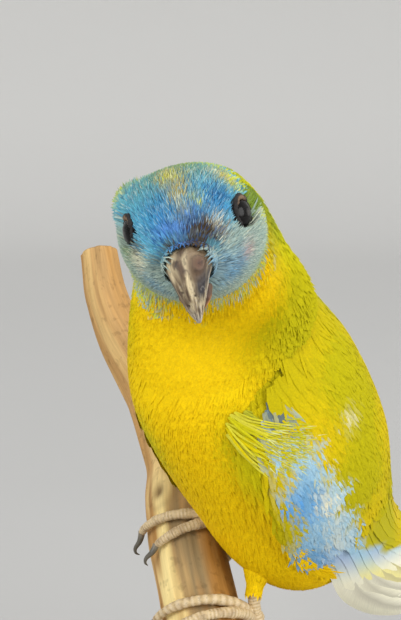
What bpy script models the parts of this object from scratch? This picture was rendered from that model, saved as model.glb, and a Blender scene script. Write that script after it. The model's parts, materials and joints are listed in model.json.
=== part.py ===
"""A turquoise parrot of the yellow variety, mounted as a still museum specimen on a cut branch and a plain stand.

The bird is one flowing body, parted by thin cuts into head, neck and torso. Bill, eyes, wings, legs, feet and tail
are pieces of their own that meet it face to face. Sizes are in millimetres and are scaled to metres at the end.
The origin is the centre of the underside of the stand's base, with +Z up. The bird looks towards -Y.
"""
import math
import random

import bmesh
import bpy
import numpy as np
from mathutils import Matrix

# Sizes of the whole, in millimetres
MM = 0.001
GAP = 0.3
RING_SEGMENTS = 28

# Pose: yaw, pitch and roll in degrees of the head, the torso and the tail
HEAD_TURN = (-4.0, 12.0, -10.5)
BODY_TURN = (-41.0, -56.0, -6.0)
TAIL_TURN = (-41.0, -30.0, -9.0)
HEAD_CENTRE = (-1.7, -29.5, 143.6)
NECK_CENTRE = (3.9, -15.9, 130.7)

# Body sections from the bill to the root of the tail: centre in the frame named, how far the section has turned from
# the head's frame to the torso's, half width, height above the centre and depth below it
BODY_SECTIONS = (
    ("head", (0.0, -11.8, -4.6), 0.00, 3.8, 2.8, 3.6),
    ("head", (0.0, -10.8, -3.6), 0.00, 7.2, 6.2, 6.4),
    ("head", (0.0, -8.0, -2.2), 0.00, 10.2, 9.2, 9.6),
    ("head", (0.0, -4.0, -1.4), 0.02, 12.1, 11.0, 12.0),
    ("head", (0.0, 1.0, -1.6), 0.08, 12.9, 11.2, 13.2),
    ("head", (0.2, 6.0, -3.6), 0.26, 13.2, 10.8, 13.6),
    ("body", (-1.6, -4.5, 1.2), 0.52, 14.8, 11.8, 15.2),
    ("body", (-3.3, 3.5, -1.0), 0.76, 17.3, 14.2, 18.4),
    ("body", (-4.6, 13.0, -2.0), 0.92, 19.0, 17.0, 21.6),
    ("body", (-4.2, 26.0, -2.0), 1.00, 20.2, 17.8, 23.0),
    ("body", (-2.9, 42.0, -2.0), 1.00, 20.1, 16.6, 23.0),
    ("body", (-1.8, 57.0, -1.5), 1.00, 17.4, 13.2, 23.0),
    ("body", (-0.8, 69.0, 0.0), 1.00, 12.4, 9.4, 19.0),
    ("body", (0.0, 78.0, 3.0), 1.00, 7.4, 6.0, 9.0),
)
HEAD_CUT = 5.3
NECK_CUT = 7.2
HEAD_RINGS = 13
NECK_RINGS = 5
TORSO_RINGS = 17

# Eyes, in the head's frame for the bird's left side
EYE_CENTRE = (7.8, -5.9, 1.0)
EYE_RADIUS = 2.9
EYE_OUTWARD = (0.92, -0.37, 0.12)
LID_RADIUS = 2.8
LID_THICKNESS = 0.55
LID_LIFT = 2.0

# Bill: sections of each half from the face to the tip: forward and height in the head's frame, pitch of the section
# in degrees, half width, height and depth
UPPER_BILL = (
    (-12.2, -4.1, 0, 3.8, 2.6, 2.4),
    (-13.6, -4.4, 25, 3.6, 2.8, 2.3),
    (-14.8, -5.5, 52, 3.0, 2.5, 1.9),
    (-15.4, -7.3, 74, 2.3, 2.0, 1.4),
    (-15.5, -9.4, 88, 1.6, 1.4, 1.0),
    (-15.2, -11.5, 98, 0.9, 0.8, 0.6),
    (-14.9, -12.8, 102, 0.3, 0.3, 0.3),
)
LOWER_BILL = (
    (-12.5, -8.6, 52, 2.9, 1.2, 1.1),
    (-12.9, -9.5, 60, 2.6, 1.1, 1.0),
    (-13.2, -10.4, 68, 2.0, 0.9, 0.8),
    (-13.4, -11.3, 74, 1.2, 0.6, 0.5),
)
NOSTRIL_PLACE = (1.7, -11.6, 0.0)
NOSTRIL_OPENING = (2.0, -12.6, 0.2)
CERE_RADIUS = 1.1
NOSTRIL_RADIUS = 0.5

# Wing sections from the shoulder to the tip, in the torso's frame: distance along the body, sideways place and height
# of the section's centre, half width, height, depth, lowest and highest angle from the back in degrees
WING_SECTIONS = (
    (8.0, -4.2, -1.0, 17.8, 15.6, 19.6, 100.0, 46.0),
    (14.0, -4.6, -2.0, 19.2, 17.8, 22.0, 124.0, 28.0),
    (24.0, -4.2, -2.0, 20.8, 18.8, 23.6, 139.0, 17.0),
    (40.0, -3.4, -2.0, 21.2, 17.8, 23.6, 145.0, 14.0),
    (56.0, -3.4, -1.5, 18.6, 15.0, 21.6, 142.0, 13.0),
    (70.0, -2.3, 0.5, 15.0, 12.4, 17.0, 130.0, 14.0),
    (84.0, -0.7, 7.0, 12.0, 9.6, 12.0, 113.0, 16.0),
    (98.0, 0.0, 14.5, 9.6, 7.6, 7.6, 94.0, 20.0),
    (110.0, 0.0, 21.0, 7.6, 6.4, 6.4, 76.0, 24.0),
    (120.0, 0.0, 26.5, 6.4, 5.6, 5.6, 62.0, 28.0),
)
# The right wing's lower edge lies this much further up the side, in degrees
RIGHT_WING_RAISED = 15.0
WING_THICKNESS = 1.7
WING_EDGE = 0.6
# The arm under the feathers ends here, counted in sections
ARM_END = 4.2
ARM_DEEP = 0.3
ARM_RINGS = 9
RECESS_FRONT = -0.8
RECESS_SPREAD = 3.0
RECESS_ROOM = 9.0
RECESS_FLOOR = 0.65
WING_RINGS = 16

# Feathers of a wing in tiers: count, share of the way from the lower to the upper edge of the first and the last,
# distances of their roots and of their tips, half width, lift off the skin, and tilt of one over the next
WING_TIERS = {
    "primary": (6, (0.0, 0.5), (40.0, 44.0), (120.0, 94.0), 3.7, 0.3, 1.0),
    "secondary": (5, (0.38, 1.0), (40.0, 36.0), (88.0, 68.0), 4.3, 0.8, 0.7),
    "covert": (6, (0.0, 1.0), (32.0, 28.0), (60.0, 50.0), 4.7, 1.3, 0.6),
}
VANE_THICKNESS = 0.65
VANE_TIP_THICKNESS = 0.45
# Outline of a vane: share of its length and of its half width
VANE_OUTLINE = ((0.0, 0.6), (0.3, 0.95), (0.5, 1.0), (0.75, 0.96), (0.9, 0.7), (1.0, 0.14))
# Sections of all vanes lie this far apart, and the last but one this far before the tip
VANE_STEP = 13.0
VANE_TAPER = 8.0
# Lengths and widths of feathers differ by up to this share
VANE_VARIATION = 0.025

# Root of the tail, along its own frame from the torso's end: distance, half width, height and depth
TAIL_SECTIONS = (
    (6.0, 6.8, 4.6, 6.4),
    (14.0, 6.4, 3.0, 4.4),
    (24.0, 5.6, 1.6, 3.2),
    (31.0, 3.6, 0.8, 2.0),
)
# Tail feathers of one side from the middle outwards: lengths from the torso's end, with the root, half width, and
# how far each lies beside, beneath and turned away from the one before
TAIL_LENGTHS = (104.0, 101.0, 90.0, 78.0, 67.0, 57.0)
TAIL_FEATHER_ROOT = 12.0
TAIL_HALF_WIDTH = 4.4
TAIL_BESIDE = (0.8, 0.55)
TAIL_BENEATH = 0.36
TAIL_FAN = (0.5, 1.15)
TAIL_ROOF = 0.16

# Perch: centre and radius from the cut lower end to the cut upper end
BRANCH_SECTIONS = (
    ((4.4, -30.0, 35.0), 9.2),
    ((2.8, -21.0, 44.5), 8.9),
    ((1.5, -11.4, 53.7), 8.7),
    ((-0.1, -3.1, 60.1), 8.5),
    ((-2.2, 4.3, 67.4), 8.4),
    ((-3.4, 10.1, 71.8), 8.3),
    ((-3.8, 16.5, 76.6), 8.5),
    ((-4.6, 26.2, 82.1), 8.1),
    ((-10.0, 35.5, 94.6), 7.2),
    ((-18.6, 44.8, 106.6), 6.2),
    ((-23.4, 51.5, 116.6), 5.6),
    ((-25.8, 58.0, 127.0), 4.9),
)
BRANCH_RINGS = 23
BRANCH_SIDES = 16
KNOT_PLACE = (-8.6, 9.0, 83.4)
KNOT_RADIUS = 3.4

# Stand
BASE_RADIUS = 50.0
BASE_HEIGHT = 9.0
BASE_ROUNDING = 1.5
ROD_RADIUS = 3.5
BRANCH_FOOT = 44.0
BRANCH_FOOT_PLACE = (2.9, -21.6)

# Legs: the feathered thighs are tubes out of the belly with a radius at each place, and the bare shanks run from
# inside them to the pads on the branch
THIGHS = {
    "right": (((9.0, 1.0, 88.0), 6.0), ((6.6, 1.6, 83.0), 4.4), ((5.6, 2.2, 80.0), 2.6)),
    "left": (((14.0, 0.0, 78.0), 6.5), ((12.0, -4.4, 71.0), 4.4), ((10.9, -7.0, 66.2), 2.4)),
}
SHANK_SUNK = 3.0
SHANK_RADIUS = 1.25
PAD_RADIUS = 1.9
# Where each foot grips: place along the branch in sections, and the pad's angle round it from the bird's left
GRIPS = {"right": (4.55, 46.0), "left": (2.55, 12.0)}
# Toes: angle at which each ends, slide along the branch at its end, and length of its claw
TOES = (
    (168.0, 2.6, 6.0),
    (136.0, -2.6, 4.6),
    (-96.0, 2.2, 5.0),
    (-70.0, -2.8, 4.2),
)
TOE_LIFT = 0.5
TOE_RADIUS = 1.15
TOE_TIP_RADIUS = 0.8
TOE_RINGS = 6
TOE_SIDES = 6


def turn(yaw, pitch, roll):
    """Rotation matrix of a frame whose own -Y looks forward: roll about Y, then pitch about X, then yaw about Z."""
    a, b, c = (math.radians(v) for v in (yaw, pitch, roll))
    about_z = np.array([[math.cos(a), -math.sin(a), 0], [math.sin(a), math.cos(a), 0], [0, 0, 1]])
    about_x = np.array([[1, 0, 0], [0, math.cos(b), -math.sin(b)], [0, math.sin(b), math.cos(b)]])
    about_y = np.array([[math.cos(c), 0, math.sin(c)], [0, 1, 0], [-math.sin(c), 0, math.cos(c)]])
    return about_z @ about_x @ about_y


HEAD_AXES = turn(*HEAD_TURN)
BODY_AXES = turn(*BODY_TURN)
TAIL_AXES = turn(*TAIL_TURN)


def from_head(point):
    """World place of a point given in the head's frame: +X the bird's left, -Y forward, +Z up."""
    return np.array(HEAD_CENTRE) + np.asarray(point, float) @ HEAD_AXES.T


def from_body(point):
    """World place of a point given in the torso's frame: +X the bird's left, +Y towards the tail, +Z dorsal."""
    return np.array(NECK_CENTRE) + np.asarray(point, float) @ BODY_AXES.T


def smooth_through(values, at):
    """Catmull-Rom curve through the rows of values, read at the parameters at, where 1 is one row."""
    values = np.asarray(values, float)
    padded = np.vstack([2 * values[0] - values[1], values, 2 * values[-1] - values[-2]])
    at = np.clip(np.asarray(at, float), 0, len(values) - 1)
    low = np.minimum(at.astype(int), len(values) - 2)
    t = (at - low)[:, None]
    a, b, c, d = (padded[low + k] for k in range(4))
    return 0.5 * (2 * b + (c - a) * t + (2 * a - 5 * b + 4 * c - d) * t**2 + (3 * b - a - 3 * c + d) * t**3)


def body_rows():
    """Each body section as one row: world centre, share of the turn, half width, height and depth."""
    frames = {"head": from_head, "body": from_body}
    return np.array([(*frames[frame](centre), *rest) for frame, centre, *rest in BODY_SECTIONS])


def section(centre, axes, half_width, height, depth, segments, shift=0.0):
    """A closed egg-shaped ring of points round centre, across the Y axis of axes, moved along it by shift."""
    theta = np.arange(segments) * 2 * math.pi / segments
    upright = np.where(np.cos(theta) > 0, height, depth) * np.cos(theta)
    flat = np.stack([half_width * np.sin(theta), np.full(segments, shift), upright], 1)
    return np.asarray(centre) + flat @ axes.T


def body_ring(at, segments=RING_SEGMENTS, shift=0.0, grown=0.0):
    """One closed section of the body at parameter at, moved along its own axis by shift and grown outwards."""
    x, y, z, share, half_width, height, depth = smooth_through(body_rows(), [at])[0]
    angles = np.array(HEAD_TURN) + share * (np.array(BODY_TURN) - np.array(HEAD_TURN))
    sizes = (half_width + grown, height + grown, depth + grown)
    return section((x, y, z), turn(*angles), *sizes, segments, shift)


# Blender objects
def clear_scene():
    """Removes every object, so that the script starts from nothing."""
    for item in list(bpy.data.objects):
        bpy.data.objects.remove(item, do_unlink=True)


def collection(name):
    """A new collection linked to the scene."""
    made = bpy.data.collections.new(name)
    bpy.context.scene.collection.children.link(made)
    return made


def finish(name, colour, roughness, metallic=0.0):
    """A plain Principled material."""
    material = bpy.data.materials.new(name)
    material.use_nodes = True
    shader = material.node_tree.nodes["Principled BSDF"]
    shader.inputs["Base Color"].default_value = (*colour, 1.0)
    shader.inputs["Roughness"].default_value = roughness
    shader.inputs["Metallic"].default_value = metallic
    return material


def outward(mesh):
    """Turns all faces of a closed mesh outwards."""
    work = bmesh.new()
    work.from_mesh(mesh)
    bmesh.ops.recalc_face_normals(work, faces=work.faces)
    if work.calc_volume(signed=True) < 0:
        bmesh.ops.reverse_faces(work, faces=work.faces)
    work.to_mesh(mesh)
    work.free()


def add_object(name, mesh, material, into):
    """Links a mesh as an object with one material."""
    made = bpy.data.objects.new(name, mesh)
    if material:
        mesh.materials.clear()
        mesh.materials.append(material)
    into.objects.link(made)
    return made


def loft(name, rings, material, into, thin=False):
    """A closed body through rings of points in millimetres, with a fan over each end.

    A thin ring runs along one face and back along the other: both faces get the same triangles, and each end a ladder.
    """
    rings = np.asarray(rings, float)
    count, sides = rings.shape[:2]
    points = rings.reshape(-1, 3) * MM
    faces = []
    for i in range(count - 1):
        here, there = i * sides, (i + 1) * sides
        for j in range(sides):
            k = (j + 1) % sides
            if thin and j >= sides // 2:
                faces.append((here + j, here + k, there + j))
                faces.append((here + k, there + k, there + j))
            else:
                faces.append((here + j, here + k, there + k))
                faces.append((here + j, there + k, there + j))
    end = (count - 1) * sides
    if thin:
        for j in range(sides // 2 - 1):
            rung = (j, j + 1, sides - 2 - j, sides - 1 - j)
            faces.append((rung[0], rung[2], rung[1]))
            faces.append((rung[0], rung[3], rung[2]))
            faces.append((end + rung[0], end + rung[1], end + rung[2]))
            faces.append((end + rung[0], end + rung[2], end + rung[3]))
    else:
        points = np.vstack([points, rings[0].mean(0) * MM, rings[-1].mean(0) * MM])
        for j in range(sides):
            k = (j + 1) % sides
            faces.append((count * sides, k, j))
            faces.append((count * sides + 1, end + j, end + k))
    mesh = bpy.data.meshes.new(name)
    mesh.from_pydata(points.tolist(), [], faces)
    outward(mesh)
    return add_object(name, mesh, material, into)


def primitive_object(name, make, material, into):
    """A mesh made by a bmesh primitive, given in metres, as an object."""
    mesh = bpy.data.meshes.new(name)
    work = bmesh.new()
    make(work)
    work.to_mesh(mesh)
    work.free()
    return add_object(name, mesh, material, into)


def ball(name, centre, radius, material, into, across=16, high=10):
    """A sphere at a world place in millimetres."""
    made = primitive_object(
        name,
        lambda work: bmesh.ops.create_uvsphere(work, u_segments=across, v_segments=high, radius=radius * MM),
        material,
        into,
    )
    made.data.transform(placed(centre))
    return made


def placed(centre, axes=None):
    """A 4x4 matrix that puts a mesh at a world place in millimetres, turned to axes."""
    matrix = np.eye(4)
    if axes is not None:
        matrix[:3, :3] = axes
    matrix[:3, 3] = np.asarray(centre, float) * MM
    return Matrix([tuple(row) for row in matrix])


def largest_surface(mesh):
    """Keeps only the closed surface with the most room inside."""
    work = bmesh.new()
    work.from_mesh(mesh)
    left = set(work.faces)
    best, most = set(), -1.0
    while left:
        stack = [left.pop()]
        shell = set(stack)
        while stack:
            for edge in stack.pop().edges:
                for face in edge.link_faces:
                    if face in left:
                        left.discard(face)
                        shell.add(face)
                        stack.append(face)
        low = np.min([v.co[:] for f in shell for v in f.verts], axis=0)
        high = np.max([v.co[:] for f in shell for v in f.verts], axis=0)
        room = float(np.prod(high - low))
        if room > most:
            best, most = shell, room
    bmesh.ops.delete(work, geom=[f for f in work.faces if f not in best], context="FACES")
    work.to_mesh(mesh)
    work.free()


def combine(target, tools, operation, solver="EXACT"):
    """Applies one Boolean of the tools, removes them and keeps the largest closed surface."""
    holder = collection("cutters of " + target.name)
    for tool in tools:
        for owner in list(tool.users_collection):
            owner.objects.unlink(tool)
        holder.objects.link(tool)
        tool.hide_render = True
        tool.display_type = "WIRE"
    step = target.modifiers.new(operation.lower(), "BOOLEAN")
    step.operation = operation
    step.solver = solver
    step.operand_type = "COLLECTION"
    step.collection = holder
    evaluated = target.evaluated_get(bpy.context.evaluated_depsgraph_get())
    mesh = bpy.data.meshes.new_from_object(evaluated)
    target.modifiers.clear()
    target.data = mesh
    for tool in tools:
        bpy.data.objects.remove(tool, do_unlink=True)
    bpy.data.collections.remove(holder)
    largest_surface(mesh)


def tube_rings(points_and_radii, count, sides):
    """Rings round a smooth curve through places with radii, without twist."""
    rows = np.array([(*place, radius) for place, radius in points_and_radii], float)
    at = np.linspace(0, len(rows) - 1, count)
    path = smooth_through(rows, at)
    centres, radii = path[:, :3], path[:, 3]
    along = np.gradient(centres, axis=0)
    along /= np.linalg.norm(along, axis=1)[:, None]
    side = np.cross(along[0], (0.0, 1.0, 0.0))
    if np.linalg.norm(side) < 0.2:
        side = np.cross(along[0], (1.0, 0.0, 0.0))
    rings = []
    theta = np.arange(sides) * 2 * math.pi / sides
    for centre, forward, radius in zip(centres, along, radii):
        side = side - forward * (side @ forward)
        side /= np.linalg.norm(side)
        other = np.cross(forward, side)
        rings.append(centre + radius * (np.cos(theta)[:, None] * side + np.sin(theta)[:, None] * other))
    return rings, at


def branch_frame(at, slide=0.0):
    """Centre, radius, sideways and outward axes of the branch, slide millimetres past a place counted in sections."""
    rows = np.array([(*place, radius) for place, radius in BRANCH_SECTIONS], float)
    step = 0.05
    pace = np.linalg.norm(np.diff(smooth_through(rows, [at - step, at + step])[:, :3], axis=0)) / (2 * step)
    at += slide / pace
    before, here, after = smooth_through(rows, [at - step, at, at + step])
    forward = after[:3] - before[:3]
    forward /= np.linalg.norm(forward)
    sideways = np.array([1.0, 0.0, 0.0]) - forward * forward[0]
    sideways /= np.linalg.norm(sideways)
    return here[:3], here[3], sideways, np.cross(sideways, forward)


def on_branch(at, angle, slide, lift):
    """World place above the bark: angle round the branch from the bird's left, slide along it, lift off it."""
    centre, radius, sideways, outside = branch_frame(at, slide)
    turned = math.radians(angle)
    spoke = math.cos(turned) * sideways + math.sin(turned) * outside
    return centre + spoke * (radius + lift)


def toe(name, at, pad_angle, end_angle, slide, claw, grown, into):
    """One toe laid round the branch, with a claw that hooks off its end, grown outwards."""
    path = []
    way = math.copysign(1.0, end_angle - pad_angle)
    for t in np.linspace(0, 1, 6):
        radius = TOE_RADIUS + (TOE_TIP_RADIUS - TOE_RADIUS) * t
        angle = pad_angle + (end_angle - pad_angle) * t
        path.append((tuple(on_branch(at, angle, slide * t**0.7, TOE_LIFT + radius)), radius))
    hook = ((0.30, 0.9, 0.62), (0.60, 2.0, 0.46), (0.85, 2.2, 0.30), (1.0, 1.5, 0.15))
    for share, lift, radius in hook:
        angle = end_angle + way * share * claw * 3.2
        path.append((tuple(on_branch(at, angle, slide - share * claw * 0.45, GAP + lift + 0.3)), radius))
    path = [(place, radius + grown) for place, radius in path]
    rings, _ = tube_rings(path, TOE_RINGS + 5, TOE_SIDES)
    return loft(name, rings, None, into)


def leg(side_name, grown, material, into):
    """Bare shank, pad, toes and claws of one foot, fused into one body and grown outwards."""
    at, pad_angle = GRIPS[side_name]
    pad = on_branch(at, pad_angle, 0, GAP + PAD_RADIUS)
    knee, before = np.array(THIGHS[side_name][-1][0]), np.array(THIGHS[side_name][-2][0])
    back = (before - knee) / np.linalg.norm(before - knee)
    places = (knee + back * (SHANK_SUNK + grown), knee, pad)
    rings, _ = tube_rings([(tuple(place), SHANK_RADIUS + grown) for place in places], 6, TOE_SIDES)
    made = loft("leg_" + side_name, rings, None, into)
    parts = [ball("pad", pad, PAD_RADIUS + grown, None, into, 12, 8)]
    for number, (end_angle, slide, claw) in enumerate(TOES):
        parts.append(toe("toe_" + str(number), at, pad_angle, end_angle, slide, claw, grown, into))
    combine(made, parts, "UNION", "MANIFOLD")
    made.data.materials.clear()
    if material:
        made.data.materials.append(material)
    return made


def branch_body(name, grown, material, into):
    """The branch as a tube of changing width, grown outwards."""
    path = [(place, radius + grown) for place, radius in BRANCH_SECTIONS]
    rings, _ = tube_rings(path, BRANCH_RINGS, BRANCH_SIDES)
    return loft(name, rings, material, into)


def ring_body(name, centre, axis, ring_radius, thickness, into):
    """A ring of round section about an axis, at a world place in millimetres."""
    axis = np.asarray(axis, float) / np.linalg.norm(axis)
    side = np.cross(axis, (0.0, 0.0, 1.0))
    side /= np.linalg.norm(side)
    other = np.cross(axis, side)
    across, round_it = 20, 8
    turn_at = np.arange(across) * 2 * math.pi / across
    tilt_at = np.arange(round_it) * 2 * math.pi / round_it
    points, faces = [], []
    for a in turn_at:
        spoke = math.cos(a) * side + math.sin(a) * other
        for b in tilt_at:
            points.append(centre + spoke * (ring_radius + thickness * math.cos(b)) + axis * thickness * math.sin(b))
    for i in range(across):
        for j in range(round_it):
            k, m = (i + 1) % across, (j + 1) % round_it
            faces.append((i * round_it + j, k * round_it + j, k * round_it + m, i * round_it + m))
    mesh = bpy.data.meshes.new(name)
    mesh.from_pydata((np.array(points) * MM).tolist(), [], faces)
    outward(mesh)
    return add_object(name, mesh, None, into)


# Wings
def wing_section(distance):
    """Place of a distance along the body, counted in wing sections."""
    return np.interp(distance, np.array(WING_SECTIONS)[:, 0], np.arange(len(WING_SECTIONS)))


def wing_reach(at, side):
    """Distance, half width, lowest and highest angle of a folded wing at a place counted in sections."""
    distance, _, _, half_width, _, _, low, high = smooth_through(WING_SECTIONS, [at])[0]
    return distance, half_width, low - (RIGHT_WING_RAISED if side < 0 else 0.0), high


def wing_place(distance, angle, lift, side):
    """World place on a folded wing: distance along the body, angle from the back in degrees, lift off the skin."""
    _, centre_x, centre_z, half_width, height, depth, _, _ = smooth_through(WING_SECTIONS, [wing_section(distance)])[0]
    theta = math.radians(angle)
    upright = height if math.cos(theta) > 0 else depth
    x = (half_width + lift) * math.sin(theta)
    z = centre_z + (upright + lift) * math.cos(theta)
    return from_body((centre_x + side * x, distance, z))


def wing_arm(name, side, material, into):
    """The arm and hand of a folded wing, as a smooth thin shell on the torso."""
    rings = []
    for at in np.linspace(0, ARM_END, ARM_RINGS):
        distance, _, low, high = wing_reach(at, side)
        thickness = WING_THICKNESS * (1.0 if at < ARM_END else 0.4)
        spread = np.linspace(low, high, 9)
        swell = np.sin(np.linspace(0, math.pi, 9)) ** 0.5
        top = [wing_place(distance, a, WING_EDGE + (thickness - WING_EDGE) * s, side) for a, s in zip(spread, swell)]
        under = [wing_place(distance, a, -ARM_DEEP, side) for a in spread[::-1]]
        rings.append(top + under)
    return loft(name, rings, material, into, thin=True)


def vane(name, root, tip, half_width, place, into):
    """One feather from root to tip: place gives the world place at a distance, a way across it and a height in it."""
    stops = np.arange(math.ceil(root / VANE_STEP + 0.3), tip / VANE_STEP - 0.9) * VANE_STEP
    lengths, widths = np.array(VANE_OUTLINE).T
    rings = []
    for distance in (root, *stops, tip - VANE_TAPER, tip):
        along = (distance - root) / (tip - root)
        across = half_width * np.interp(along, lengths, widths)
        high = VANE_THICKNESS + (VANE_TIP_THICKNESS - VANE_THICKNESS) * along
        corners = ((-across, high), (across, high), (across, 0.0), (-across, 0.0))
        rings.append([place(distance, across, way, lift) for way, lift in corners])
    return loft(name, rings, None, into, thin=True)


def wing_vanes(side, into, draw):
    """All feathers of one wing, tier by tier."""
    made = []
    for tier, (count, shares, roots, tips, half_width, base, tilt) in WING_TIERS.items():
        for number in range(count):
            part = number / (count - 1)
            root, tip, share = (v[0] + (v[1] - v[0]) * part for v in (roots, tips, shares))
            tip -= (tip - root) * draw.uniform(0, VANE_VARIATION)
            width = half_width * (1 + draw.uniform(-VANE_VARIATION, VANE_VARIATION))

            def place(distance, across, way, lift):
                _, radius, low, high = wing_reach(wing_section(distance), side)
                inset = math.degrees(across / radius)
                angle = (low - inset) + (high - low + 2 * inset) * share - math.degrees(way / radius)
                return wing_place(distance, angle, base + tilt * (0.5 - way / (2 * width)) + lift, side)

            made.append(vane(tier + str(number), root, tip, width, place, into))
    return made


def tail_vanes(root, into):
    """The twelve feathers of the tail, the middle pair on top and each next one beneath."""
    made = []
    for number, length in enumerate(TAIL_LENGTHS):
        for side in (1, -1):
            fan = math.radians(side * (TAIL_FAN[0] + TAIL_FAN[1] * number))
            beside = side * (TAIL_BESIDE[0] + TAIL_BESIDE[1] * number)
            beneath = TAIL_BENEATH * (number + (0.5 if side < 0 else 0.0))

            def place(distance, _, way, lift):
                x = beside + math.sin(fan) * distance + math.cos(fan) * way
                y = math.cos(fan) * distance - math.sin(fan) * way
                z = lift - beneath - TAIL_ROOF * abs(x)
                return root + TAIL_AXES @ np.array([x, y, z])

            made.append(vane("rectrix" + str(number), TAIL_FEATHER_ROOT, length, TAIL_HALF_WIDTH, place, into))
    return made


def wing_recess(name, side, into):
    """The room that a wing takes beside the torso, a gap wider than the wing itself."""
    rings = []
    for at in np.append(-1, np.linspace(0, len(WING_SECTIONS) - 1, WING_RINGS)):
        distance, _, low, high = wing_reach(max(at, 0), side)
        distance += RECESS_FRONT if at < 0 else 0
        spread = np.linspace(low, high, 9)
        spread = np.concatenate([[low + RECESS_SPREAD], spread, [high - RECESS_SPREAD]])
        top = [wing_place(distance, a, RECESS_ROOM, side) for a in spread]
        under = [wing_place(distance, a, -RECESS_FLOOR, side) for a in spread[::-1]]
        rings.append(top + under)
    return loft(name, rings, None, into, thin=True)


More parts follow.
